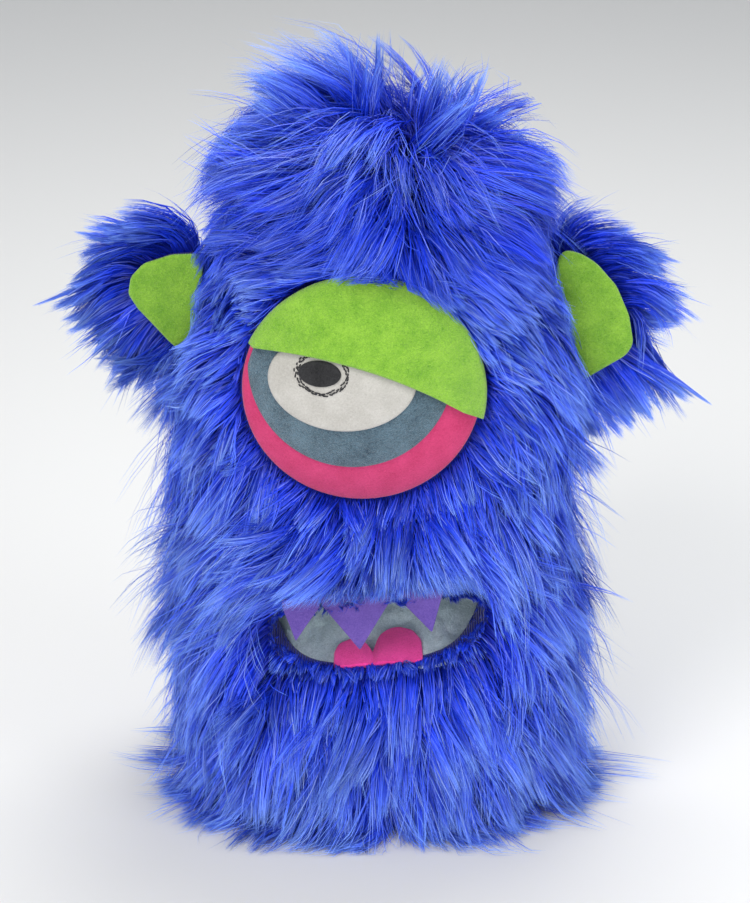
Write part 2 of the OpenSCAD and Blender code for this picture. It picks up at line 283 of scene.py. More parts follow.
def hem_roll():
    """The turned-up hem: a fat flattened roll with a dimple at every topstitch."""
    low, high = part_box("hem_band")
    mid_w, mid_d, half_h = high.x - 0.0035, high.y - 0.0035, (high.z - low.z) / 2 - 0.0001
    around, turn, stitches = 240, 16, 52
    points = []
    for j in range(around):
        a = 2 * math.pi * j / around
        dimple = 0.00035 * math.cos(stitches * a)
        for i in range(turn):
            b = 2 * math.pi * i / turn
            out = (0.0031 - abs(math.sin(b)) * dimple) * powered(math.cos(b), 0.7)
            z = low.z + half_h + 0.0001 + half_h * powered(math.sin(b), 0.55)
            points.append(((mid_w + out) * math.cos(a), (mid_d + out) * math.sin(a), z))
    faces = []
    for j in range(around):
        for i in range(turn):
            k, n = (j + 1) % around, (i + 1) % turn
            faces.append((j * turn + i, k * turn + i, k * turn + n, j * turn + n))
    roll = new_piece("hem_roll", points, faces, sleeve_cotton, "sleeve")
    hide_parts("hem_band")


hem_roll()
sleeve_tube()

# ---- Mouth boards ----
# Two stiff grey-brown boards that the fingers and the thumb push: pressed card, cut to the
# mouth's rounded shape, with a soft worn edge.


def noise_bump(nodes, link, shader, scale, depth, detail=4.0):
    """A fine raised grain, given back with the node that places it."""
    grain = nodes.new("ShaderNodeTexNoise")
    grain.inputs["Scale"].default_value = scale
    grain.inputs["Detail"].default_value = detail
    grain.inputs["Roughness"].default_value = 0.65
    place = nodes.new("ShaderNodeTexCoord")
    link(place.outputs["Object"], grain.inputs["Vector"])
    raised(nodes, link, shader, grain.outputs["Fac"], depth, strength=0.9)
    return grain, place


def pressed_card():
    made, nodes, link, shader = new_material("pressed_card", 0.8, specular=0.25)
    grain, place = noise_bump(nodes, link, shader, 900, 0.0002)
    fleck = nodes.new("ShaderNodeTexNoise")
    fleck.inputs["Scale"].default_value = 350
    fleck.inputs["Detail"].default_value = 6
    link(place.outputs["Object"], fleck.inputs["Vector"])
    two_tone(nodes, link, shader, fleck.outputs["Fac"], (0.30, 0.25, 0.18), (0.52, 0.45, 0.34), 0.35, 0.7)
    return made


def finish_node(node, material, edge):
    """A cut piece keeps its own shape and gets its finish and a softened edge."""
    piece = frame["nodes"][node]
    piece.data.materials.clear()
    piece.data.materials.append(material)
    soft = piece.modifiers.new("soft_edge", "BEVEL")
    soft.width = edge
    soft.segments = 3
    soft.limit_method = "ANGLE"


card = pressed_card()
for board in ("upper_mouth_board", "lower_mouth_board"):
    finish_node(board, card, 0.0005)

# ---- Pockets and stuffing ----
# Behind the boards sit a pocket for four fingers and one for the thumb, sewn from a duller
# cotton. Above them the head is packed with polyester fibre, with a foam dome behind the eye.


def lumpy_copy(name, node, voxel, relax, swell, wave, seed, material, body):
    """A soft piece in the space of its cut solid: remeshed, relaxed and gently lumpy."""
    mesh = frame["nodes"][node].data.copy()
    mesh.name = name
    piece = bpy.data.objects.new(name, mesh)
    bpy.context.scene.collection.objects.link(piece)
    remesh = piece.modifiers.new("remesh", "REMESH")
    remesh.mode = "VOXEL"
    remesh.voxel_size = voxel
    ease = piece.modifiers.new("ease", "SMOOTH")
    ease.factor = 0.6
    ease.iterations = relax
    view = bpy.context.evaluated_depsgraph_get()
    final = bpy.data.meshes.new_from_object(piece.evaluated_get(view))
    piece.modifiers.clear()
    piece.data = final
    final.name = name
    points = np.array([v.co for v in final.vertices])
    normals = np.array([v.normal for v in final.vertices])
    points += normals * (swell * (smooth_noise(points, wave, seed) - 0.6))[:, None]
    final.vertices.foreach_set("co", points.astype(np.float32).ravel())
    final.materials.clear()
    final.materials.append(material)
    final.shade_smooth()
    final.update()
    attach(piece, body)
    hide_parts(node)
    return piece


def loose_fibre():
    made, nodes, link, shader = new_material("loose_fibre", 0.9, sheen=0.5, specular=0.2)
    grain, place = noise_bump(nodes, link, shader, 260, 0.0015, detail=8)
    two_tone(nodes, link, shader, grain.outputs["Fac"], (0.62, 0.61, 0.58), (0.86, 0.85, 0.82))
    return made


def open_foam():
    made, nodes, link, shader = new_material("open_foam", 0.95, specular=0.2)
    cells = nodes.new("ShaderNodeTexVoronoi")
    cells.inputs["Scale"].default_value = 700
    place = nodes.new("ShaderNodeTexCoord")
    link(place.outputs["Object"], cells.inputs["Vector"])
    two_tone(nodes, link, shader, cells.outputs["Distance"], (0.40, 0.37, 0.27), (0.70, 0.67, 0.55))
    raised(nodes, link, shader, cells.outputs["Distance"], 0.0008)
    return made


stuffing = lumpy_copy("head_filling", "head_stuffing", 0.005, 6, 0.0016, 0.03, 5,
                      loose_fibre(), "head")
foam = lumpy_copy("eye_foam", "face_pad", 0.003, 2, 0.0002, 0.02, 6, open_foam(), "head")
pocket_cotton = woven_cotton("pocket_cotton", (0.02, 0.025, 0.07), (0.06, 0.075, 0.19))
for name, node, body, seed in (("finger_pouch", "finger_pocket", "head", 7),
                               ("thumb_pouch", "thumb_pocket", "jaw", 8)):
    lumpy_copy(name, node, 0.0011, 8, 0.0004, 0.012, seed, pocket_cotton, body)

# ---- Fur panels ----
# Long-pile fur fabric on a royal-blue knit: a head panel, neck and cheek gussets, a chin and a
# sleeve, sewn into one upright oval tube that is closed over the crown and slit for the mouth.
SKIN_W = 0.0765
SKIN_RATIO = 0.83
SKIN_POWER = 2.6
SKIN_LOW = 0.006
CROWN_Z = 0.250
CROWN_TOP = 0.349
MOUTH_ROLL = math.radians(5)
MOUTH_HALF = 0.0545
MOUTH_POWER = 3.2
LIP_UP = 19.5
LIP_DOWN = -17.5
LIP_MIDDLE = (LIP_UP + LIP_DOWN) / 2
LIP_SPREAD = (LIP_UP - LIP_DOWN) / 2
CHIN_HALF = 0.052
NECK_TOP = 0.150

fold_low, fold_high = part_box("mouth_fold")
FOLD_Z = (fold_low.z + fold_high.z) / 2
disc_low, disc_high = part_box("eye_disc")
EYE_X = (disc_low.x + disc_high.x) / 2
EYE_Z = (disc_low.z + disc_high.z) / 2
EYE_R = (disc_high.x - disc_low.x) / 2
EYE_DOME = 0.105
EYE_BALL_Y = disc_low.y + EYE_DOME


def eased(value):
    value = np.clip(value, 0, 1)
    return value * value * (3 - 2 * value)


def skin_point(around, level):
    """A point of the knit: level is 0 at the hem, 1 where the crown begins and 2 at its top."""
    straight = np.clip(level, 0, 1)
    dome = np.clip(level - 1, 0, 1) * math.pi / 2
    wide = np.interp(straight, [0, 0.4, 1], [0.073, SKIN_W, SKIN_W]) * np.cos(dome) ** 0.82
    x = wide * powered(np.cos(around), 2 / SKIN_POWER)
    y = wide * SKIN_RATIO * powered(np.sin(around), 2 / SKIN_POWER)
    z = SKIN_LOW + (CROWN_Z - SKIN_LOW) * straight + (CROWN_TOP - CROWN_Z) * np.sin(dome)
    away = np.hypot(x - EYE_X, z - EYE_Z)
    ball = EYE_BALL_Y - np.sqrt(EYE_DOME ** 2 - np.minimum(away, EYE_R) ** 2) + 0.0035
    near = eased((EYE_R + 0.030 - away) / 0.028) * (y < 0)
    y = y + near * (ball - y)
    return np.stack([x, y, z], -1)


def mouth_angle(points):
    """Degrees above straight ahead, about the mouth's fold."""
    rise = points[:, 2] - FOLD_Z - points[:, 0] * math.tan(MOUTH_ROLL)
    return np.degrees(np.arctan2(rise, -points[:, 1]))


def in_mouth(points):
    across = np.abs(points[:, 0] / MOUTH_HALF) ** MOUTH_POWER
    upward = np.abs((mouth_angle(points) - LIP_MIDDLE) / LIP_SPREAD) ** MOUTH_POWER
    return (across + upward < 1) & (points[:, 1] < -0.02)


PANELS = ("head", "neck", "cheek_left", "cheek_right", "chin", "jowl_left", "jowl_right", "sleeve")


def panel_of(points):
    """The number of the fur panel that each point lies in."""
    x, y, z = points.T
    angle = mouth_angle(points)
    front = y < 0
    panel = np.full(len(points), PANELS.index("sleeve"))
    low = front & (angle <= LIP_DOWN) & (z > 0.032)
    panel[low & (np.abs(x) <= CHIN_HALF)] = PANELS.index("chin")
    side = low & (np.abs(x) > CHIN_HALF) & (y < -0.012) & (z > 0.045)
    panel[side & (x < 0)] = PANELS.index("jowl_left")
    panel[side & (x > 0)] = PANELS.index("jowl_right")
    between = front & (angle > LIP_DOWN) & (angle < LIP_UP)
    panel[between & (x < 0)] = PANELS.index("cheek_left")
    panel[between & (x > 0)] = PANELS.index("cheek_right")
    rim = between & (np.abs(x) < CHIN_HALF - 0.001)
    panel[rim & (angle > 0)] = PANELS.index("head")
    panel[rim & (angle <= 0)] = PANELS.index("chin")
    panel[~front & (z > 0.088)] = PANELS.index("neck")
    panel[(front & (angle >= LIP_UP)) | (~front & (z >= NECK_TOP))] = PANELS.index("head")
    return panel


def knit_backing():
    """Fine ribs of knitted polyester, dark at the roots of the pile."""
    made, nodes, link, shader = new_material("knit_backing", 0.8, sheen=0.2, specular=0.2)
    rib = nodes.new("ShaderNodeTexWave")
    rib.bands_direction = "X"
    rib.inputs["Scale"].default_value = 260
    rib.inputs["Distortion"].default_value = 2.5
    place = nodes.new("ShaderNodeTexCoord")
    link(place.outputs["Object"], rib.inputs["Vector"])
    two_tone(nodes, link, shader, rib.outputs["Fac"], (0.002, 0.006, 0.11), (0.006, 0.016, 0.30))
    raised(nodes, link, shader, rib.outputs["Fac"], 0.0004)
    return made


def skin_grid():
    """The whole knit tube as points and faces, with the mouth left open."""
    around, rows, crown_rows = 208, 126, 40
    crown = np.linspace(1, 1.995, crown_rows + 1)[1:]
    levels = np.concatenate([np.linspace(0, 1, rows - crown_rows), crown])
    turn = np.linspace(0, 2 * math.pi, around, endpoint=False)
    level, angle = np.meshgrid(levels, turn, indexing="ij")
    points = skin_point(angle.ravel(), level.ravel())
    faces = tube_faces(rows, around)
    faces.append(tuple(range((rows - 1) * around, rows * around)))
    centre = np.array([points[list(f)].mean(0) for f in faces])
    keep = ~in_mouth(centre)
    return points, [f for f, k in zip(faces, keep) if k], centre[keep]


knit = knit_backing()
skin_points, skin_faces, skin_centres = skin_grid()
skin_panel = panel_of(skin_centres)


def lip_roll(name, body, upper):
    """The fur fabric's turned-in edge round half of the mouth's slit, sewn to a mouth board."""
    steps, depth = 90, 7
    span = np.linspace(0, math.pi, steps) if upper else np.linspace(math.pi, 2 * math.pi, steps)
    across = (MOUTH_HALF + 0.001) * powered(np.cos(span), 2 / MOUTH_POWER)
    tilt = np.radians(LIP_MIDDLE + (LIP_SPREAD + 0.6) * powered(np.sin(span), 2 / MOUTH_POWER))
    skin_y = -SKIN_W * SKIN_RATIO * (1 - np.abs(across / SKIN_W) ** SKIN_POWER) ** (1 / SKIN_POWER)
    rows = []
    for i in range(depth):
        share = i / (depth - 1)
        inward = share * (0.005 + 0.021 * np.abs(np.cos(span)) ** 5)
        y = skin_y + inward
        x = across * (1 - 0.05 * share)
        z = FOLD_Z + x * math.tan(MOUTH_ROLL) - y * np.tan(tilt)
        swell = 0.0016 * math.sin(math.pi * share)
        rows.append(np.stack([x, y, z - swell * np.sign(np.sin(span + 1e-6))], -1))
    points = np.concatenate(rows)
    faces = []
    for i in range(depth - 1):
        for j in range(steps - 1):
            a = i * steps + j
            faces.append((a, a + steps, a + steps + 1, a + 1))
    roll = new_piece(name, points, faces, knit, body)
    thick = roll.modifiers.new("cloth", "SOLIDIFY")
    thick.thickness = 0.0012
    return points, faces


def fur_panel(panel, name):
    """One panel of knit, cut out of the whole tube along its seams."""
    mine = [f for f, p in zip(skin_faces, skin_panel) if p == PANELS.index(panel)]
    used = sorted({i for f in mine for i in f})
    new = {old: i for i, old in enumerate(used)}
    piece = new_piece(name, skin_points[used], [[new[i] for i in f] for f in mine], knit)
    return piece


def cling(piece, panel):
    """A piece of the head or sleeve panel rides that body; a piece of any other panel stays where it is.
    """
    if panel == "head":
        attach(piece, "head")
    elif panel == "sleeve":
        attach(piece, "sleeve")
    elif panel == "neck":
        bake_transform(piece)
    elif panel.startswith("cheek"):
        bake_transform(piece)
    elif panel == "chin":
        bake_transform(piece)
    else:
        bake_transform(piece)


backings = {}
for panel in PANELS:
    backings[panel] = fur_panel(panel, panel + "_knit")
    cling(backings[panel], panel)
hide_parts("head_fur_front", "head_fur_back")
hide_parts("sleeve_fur_front", "sleeve_fur_back")
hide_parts("chin_fur")
lips = {
    "upper": lip_roll("upper_lip_roll", "head", True),
    "lower": lip_roll("lower_lip_roll", "jaw", False),
}

# ---- Pile ----
# The long shag: fine crimped fibres that gather into pointed locks, combed by hand away from
# the face and trimmed round the eye and the mouth, with painted shade at the root and painted light and a
# painted highlight at the tip.
REACH = np.array([0, 0.15, 0.33, 0.54, 0.77, 1.0])
pile_dice = np.random.default_rng(20)

# Where the comb passes, and which way it draws the pile there
COMB = (
    ((-0.040, -0.050, 0.330), (-0.85, -0.15, 0.15)),
    ((-0.055, -0.045, 0.312), (-0.75, -0.10, -0.60)),
    ((-0.005, -0.058, 0.318), (-0.75, -0.20, -0.45)),
    ((0.025, -0.056, 0.318), (0.65, -0.15, -0.55)),
    ((0.050, -0.045, 0.312), (0.80, -0.10, -0.60)),
    ((-0.010, -0.045, 0.340), (-0.80, -0.25, 0.15)),
    ((0.020, -0.040, 0.338), (0.35, -0.35, -0.20)),
    ((-0.030, -0.010, 0.346), (-0.85, -0.10, 0.50)),
    ((0.000, 0.000, 0.349), (-0.75, -0.05, 0.65)),
    ((0.030, 0.000, 0.346), (0.30, 0.10, 0.55)),
    ((0.045, -0.020, 0.338), (0.80, -0.10, -0.15)),
    ((0.062, -0.005, 0.322), (0.75, -0.05, -0.50)),
    ((-0.062, -0.005, 0.322), (-0.55, -0.05, -0.75)),
    ((-0.078, -0.030, 0.290), (-0.45, -0.10, -0.85)),
    ((0.078, -0.030, 0.290), (0.35, -0.10, -0.90)),
    ((-0.078, -0.030, 0.245), (-0.30, -0.10, -0.95)),
    ((0.078, -0.030, 0.245), (0.30, -0.10, -0.95)),
    ((-0.076, -0.035, 0.190), (-0.50, -0.20, -0.80)),
    ((0.076, -0.035, 0.190), (0.35, -0.20, -0.90)),
    ((-0.050, -0.060, 0.168), (-0.85, -0.10, -0.50)),
    ((-0.005, -0.068, 0.165), (-0.55, -0.10, -0.75)),
    ((0.022, -0.066, 0.166), (0.10, -0.10, -0.90)),
    ((0.050, -0.058, 0.170), (0.45, -0.10, -0.80)),
    ((-0.040, -0.060, 0.138), (-0.95, -0.10, -0.30)),
    ((0.000, -0.063, 0.138), (-0.50, -0.15, -0.60)),
    ((0.040, -0.060, 0.140), (0.75, -0.10, -0.55)),
    ((-0.072, -0.040, 0.105), (-0.50, -0.15, -0.85)),
    ((0.072, -0.040, 0.110), (0.50, -0.15, -0.85)),
    ((0.000, -0.062, 0.070), (0.00, -0.40, -0.90)),
    ((-0.045, -0.058, 0.068), (-0.32, -0.35, -0.88)),
    ((0.045, -0.058, 0.070), (0.35, -0.35, -0.88)),
    ((0.000, -0.060, 0.025), (0.00, -0.85, -0.70)),
    ((-0.045, -0.050, 0.025), (-0.45, -0.65, -0.75)),
    ((0.045, -0.050, 0.025), (0.50, -0.70, -0.70)),
    ((0.072, -0.020, 0.040), (0.80, -0.25, -0.65)),
    ((-0.072, -0.020, 0.040), (-0.60, -0.20, -0.80)),
    ((-0.075, 0.020, 0.030), (-0.60, 0.20, -0.80)),
    ((0.075, 0.020, 0.030), (0.75, 0.20, -0.70)),
    ((0.000, 0.030, 0.345), (-0.25, 0.75, 0.20)),
    ((0.000, 0.060, 0.300), (0.00, 0.35, -0.90)),
    ((-0.050, 0.050, 0.220), (-0.30, 0.20, -0.90)),
    ((0.050, 0.050, 0.220), (0.30, 0.20, -0.90)),
    ((0.000, 0.062, 0.130), (0.00, 0.25, -0.95)),
    ((0.000, 0.060, 0.030), (0.00, 0.60, -0.80)),
)


def unit(vectors):
    return vectors / np.maximum(np.linalg.norm(vectors, axis=1, keepdims=True), 1e-9)


def combed(roots, normals, comb, spread):
    """The way that the pile lies at each root, along the fabric."""
    total = np.zeros_like(roots)
    for place, way in comb:
        weight = np.exp(-((roots - np.array(place)) ** 2).sum(1) / (2 * spread ** 2)) + 1e-12
        total += weight[:, None] * np.array(way)
    flow = unit(total)
    loose = 0.85 + 0.15 * eased((roots[:, 2:] - 0.29) / 0.03)
    flow = flow - (flow * normals).sum(1, keepdims=True) * normals * loose
    return unit(flow)


def scatter(points, faces, count, dice):
    """Random roots over a mesh, evenly by area, with their normals and their faces."""
    corner, tri_face = [], []
    for number, face in enumerate(faces):
        for i in range(1, len(face) - 1):
            corner.append((face[0], face[i], face[i + 1]))
            tri_face.append(number)
    corner, tri_face = np.array(corner), np.array(tri_face)
    a, b, c = points[corner[:, 0]], points[corner[:, 1]], points[corner[:, 2]]
    cross = np.cross(b - a, c - a)
    area = np.linalg.norm(cross, axis=1)
    pick = dice.choice(len(corner), size=count, p=area / area.sum())
    u, v = dice.random(count), dice.random(count)
    flip = u + v > 1
    u[flip], v[flip] = 1 - u[flip], 1 - v[flip]
    smooth = np.zeros_like(points)
    for k in range(3):
        np.add.at(smooth, corner[:, k], cross)
    smooth = unit(smooth)
    roots = a[pick] + u[:, None] * (b - a)[pick] + v[:, None] * (c - a)[pick]
    w0 = (1 - u - v)[:, None]
    normals = w0 * smooth[corner[pick, 0]] + u[:, None] * smooth[corner[pick, 1]]
    normals = unit(normals + v[:, None] * smooth[corner[pick, 2]])
    return roots, normals, tri_face[pick]


def nearest(points, centres):
    tree = KDTree(len(centres))
    for i, c in enumerate(centres):
        tree.insert(c, i)
    tree.balance()
    return np.array([tree.find(p)[1] for p in points])


def locks_of(roots, radius, area, dice):
    """Every root's lock, and the root at the middle of each lock."""
    count = max(3, int(area / (math.pi * radius ** 2)))
    heads = dice.choice(len(roots), size=min(count, len(roots)), replace=False)
    return nearest(roots, roots[heads]), heads


def grow(roots, normals, flow, length, lift, area, dice, big=0.0075, fine=0.0021):
    """The path of each fibre, drawn into small locks and those into larger ones."""
    count = len(roots)
    large, large_heads = locks_of(roots, big, area, dice)
    small, small_heads = locks_of(roots, fine, area, dice)
    sway = dice.normal(size=(len(large_heads), 3)) * 0.32
    flutter = dice.normal(size=(len(small_heads), 3)) * 0.16
    flow = unit(flow + sway[large] + flutter[small] + dice.normal(size=(count, 3)) * 0.07)
    length = length * (1 + dice.normal(size=count) * 0.10)
    length = length * (1 + (dice.random(len(small_heads)) - 0.5) * 0.36)[small]
    lift = lift * (1 + (dice.random(len(large_heads)) - 0.5) * 0.5)[large]
    across = unit(np.cross(normals, flow))
    crimp = dice.uniform(0, 2 * math.pi, count)
    paths = np.zeros((count, len(REACH), 3))
    paths[:, 0] = roots
    for k in range(1, len(REACH)):
        t = (REACH[k] + REACH[k - 1]) / 2
        rise = (lift * (1 - t) ** 1.4 + 0.16 * lift)[:, None]
        way = normals * rise + flow * (0.30 + 1.0 * t) + np.array([0, 0, -0.30]) * t
        way = way + across * (0.13 * np.sin(crimp + 7 * t))[:, None]
        paths[:, k] = paths[:, k - 1] + unit(way) * (length * (REACH[k] - REACH[k - 1]))[:, None]
    stray = dice.random(count) < 0.05
    for heads, group, pull in ((small_heads, small, 0.80), (large_heads, large, 0.50)):
        centre = paths[heads][group]
        hold = pull * dice.uniform(0.75, 1.1, count) * (1 - 0.85 * stray)
        weight = np.clip(hold[:, None] * REACH[None, :] ** 1.15, 0, 0.97)[:, :, None]
        paths = paths + weight * (centre - paths)
    return paths, small, large


def trim_round_eye(paths, dice):
    """Fibres bend round the eye and stay back from its upper rim."""
    rim_y = EYE_BALL_Y - math.sqrt(EYE_DOME ** 2 - EYE_R ** 2)
    spare = dice.uniform(-0.0030, 0.0030, len(paths))
    for k in range(1, paths.shape[1]):
        p = paths[:, k]
        dx, dz = p[:, 0] - EYE_X, p[:, 2] - EYE_Z
        away = np.hypot(dx, dz) + 1e-9
        ahead = np.clip(rim_y - p[:, 1], 0, 0.05)
        over = np.clip(dz / away, -1, 1)
        limit = EYE_R + spare - 0.0020 * np.clip(over, 0, 1) + ahead * (0.10 + 0.26 * over)
        push = np.where((p[:, 1] < -0.03) & (away < limit), limit - away, 0)
        p[:, 0] += dx / away * push
        p[:, 2] += dz / away * push
    return paths


def snip(paths, clear):
    """Cuts every fibre where it would run out of clear room, as scissors do."""
    end = np.ones(len(paths))
    for k in range(len(REACH) - 1, 0, -1):
        spent = clear[:, k] < 0
        part = np.clip(clear[:, k - 1] / np.maximum(clear[:, k - 1] - clear[:, k], 1e-9), 0, 1)
        end = np.where(spent, REACH[k - 1] + (REACH[k] - REACH[k - 1]) * part, end)
    wanted = REACH[None, :] * np.clip(end, 0.14, 1)[:, None]
    low = np.clip(np.searchsorted(REACH, wanted) - 1, 0, len(REACH) - 2)
    part = ((wanted - REACH[low]) / (REACH[low + 1] - REACH[low]))[:, :, None]
    row = np.arange(len(paths))[:, None]
    return paths[row, low] * (1 - part) + paths[row, low + 1] * part


def trim_at_lips(paths, dice):
    """Fibres rooted over the mouth end at the upper lip, and the chin's lie below the lower."""
    root = paths[:, 0]
    above = mouth_angle(root) > 0
    spare = dice.uniform(-0.0060, 0.0010, len(paths))
    lip_out = 0.0635
    upper = lip_out * math.tan(math.radians(LIP_UP))
    lower = lip_out * math.tan(math.radians(LIP_DOWN))
    clear = np.ones(paths.shape[:2])
    for k in range(1, paths.shape[1]):
        x, y, z = paths[:, k].T
        base = FOLD_Z + x * math.tan(MOUTH_ROLL)
        ahead = np.clip(-SKIN_W * SKIN_RATIO - y, 0, 0.06)
        room_above = z - (base + upper + 0.40 * ahead + spare)
        room_below = base + lower + 0.22 * ahead + spare - z
        beside = (np.abs(x) - 0.056) * np.where(y < -0.03, 1, 1e3)
        clear[:, k] = np.maximum(np.where(above, room_above, room_below), beside)
    return snip(paths, clear)


def crown_outline(paths, dice, yield_share):
    """The pile over the brow is brushed close, so that the head narrows towards its top."""
    spare = dice.uniform(-0.006, 0.006, len(paths))
    heights = (0.285, 0.327, 0.360, 0.385)
    for side, wide in ((-1, (0.100, 0.084, 0.068, 0.060)), (1, (0.102, 0.094, 0.082, 0.060))):
        for k in range(1, paths.shape[1]):
            p = paths[:, k]
            seen = p[:, 2] + 0.40 * np.maximum(p[:, 1], -0.06)
            limit = np.interp(seen, heights, wide) + spare
            past = np.clip(side * p[:, 0] - limit, 0, None) * eased((seen - 0.285) / 0.015)
            p[:, 0] -= side * past * (1 - yield_share)
            p[:, 2] -= 0.3 * past * (1 - yield_share)
    return paths


def swept_off_ears(paths, dice):
    """In front of the ears the pile hangs down the side of the head and leaves their facings bare."""
    spare = dice.uniform(-0.003, 0.003, len(paths)) + 0.010 * (dice.random(len(paths)) < 0.04)
    sides = ((-1, 0.091, 0.0, 0.290, 0.236), (1, 0.078, 0.32, 0.306, 0.212))
    for side, least, slope, top, foot in sides:
        for k in range(1, paths.shape[1]):
            p = paths[:, k]
            seen = p[:, 2] + 0.40 * (p[:, 1] + 0.010)
            limit = least + slope * np.clip(top - seen, 0, 0.08) + spare
            hold = eased((top - seen) / 0.012) * eased((seen - foot) / 0.012)
            hold = hold * eased((-0.004 - p[:, 1]) / 0.006)
            past = np.clip(side * p[:, 0] - limit, 0, None) * hold
            p[:, 0] -= side * past
            p[:, 2] -= 0.5 * past
    return paths


def rest_on_floor(paths, dice):
    """Fibres that would pass the floor turn outwards along it, and none leaves the fur's room."""
    low = 0.0012 + 0.004 * dice.random(len(paths)) ** 2
    for k in range(1, paths.shape[1]):
        p = paths[:, k]
        under = np.clip(low - p[:, 2], 0, None)
        out = unit(p[:, :2] * np.array([1, 1.15]))
        p[:, :2] += out * (0.55 * under)[:, None]
        p[:, 2] = np.maximum(p[:, 2], low)
    spare = np.array([0.016, 0.013, 0.018]) * (1 - 0.5 * dice.random((len(paths), 1)))
    high = np.array(cad_high) + spare
    least = np.array(cad_low) - spare
    least[:, 2] = 0
    return np.clip(paths, least[:, None, :], high[:, None, :])


def pile_tone_and_painted_light(name, roots, middle, lit_tips, tip_highlight):
    """Acrylic fibre: painted shade at the root, painted light towards the tip, a painted highlight at the
    tip of some fibres, and a tone that varies from lock to lock.
    """
    made, nodes, link, shader = new_material(name, 0.42, specular=0.35)
    marks = {}
    for mark in ("tip", "lock", "fibre"):
        node = nodes.new("ShaderNodeAttribute")
        node.attribute_name = mark
        marks[mark] = node.outputs["Fac"]
    half_lit_tone = tuple(0.72 * m + 0.28 * t for m, t in zip(middle, lit_tips))
    # The ramp runs from painted shade at the root to painted light at the tip.
    ramp = nodes.new("ShaderNodeValToRGB")
    ramp.color_ramp.elements[0].color = (*roots, 1)
    ramp.color_ramp.elements[1].color = (*lit_tips, 1)
    ramp.color_ramp.elements.new(0.42).color = (*middle, 1)
    ramp.color_ramp.elements.new(0.72).color = (*half_lit_tone, 1)
    link(marks["tip"], ramp.inputs["Fac"])
    tone = nodes.new("ShaderNodeHueSaturation")
    span = nodes.new("ShaderNodeMapRange")
    span.inputs["To Min"].default_value = 0.62
    span.inputs["To Max"].default_value = 1.38
    link(marks["lock"], span.inputs["Value"])
    link(span.outputs["Result"], tone.inputs["Value"])
    link(ramp.outputs["Color"], tone.inputs["Color"])
    # Some fibres whiten towards their tip: a painted highlight.
    pale = nodes.new("ShaderNodeMapRange")
    pale.inputs["From Min"].default_value = 0.80
    pale.inputs["To Max"].default_value = 0.75
    link(marks["fibre"], pale.inputs["Value"])
    share = nodes.new("ShaderNodeMath")
    share.operation = "MULTIPLY"
    link(pale.outputs["Result"], share.inputs[0])
    link(marks["tip"], share.inputs[1])
    mix = nodes.new("ShaderNodeMix")
    mix.data_type = "RGBA"
    mix.inputs["B"].default_value = (*tip_highlight, 1)
    link(share.outputs[0], mix.inputs["Factor"])
    link(tone.outputs["Color"], mix.inputs["A"])
    link(mix.outputs["Result"], shader.inputs["Base Color"])
    return made


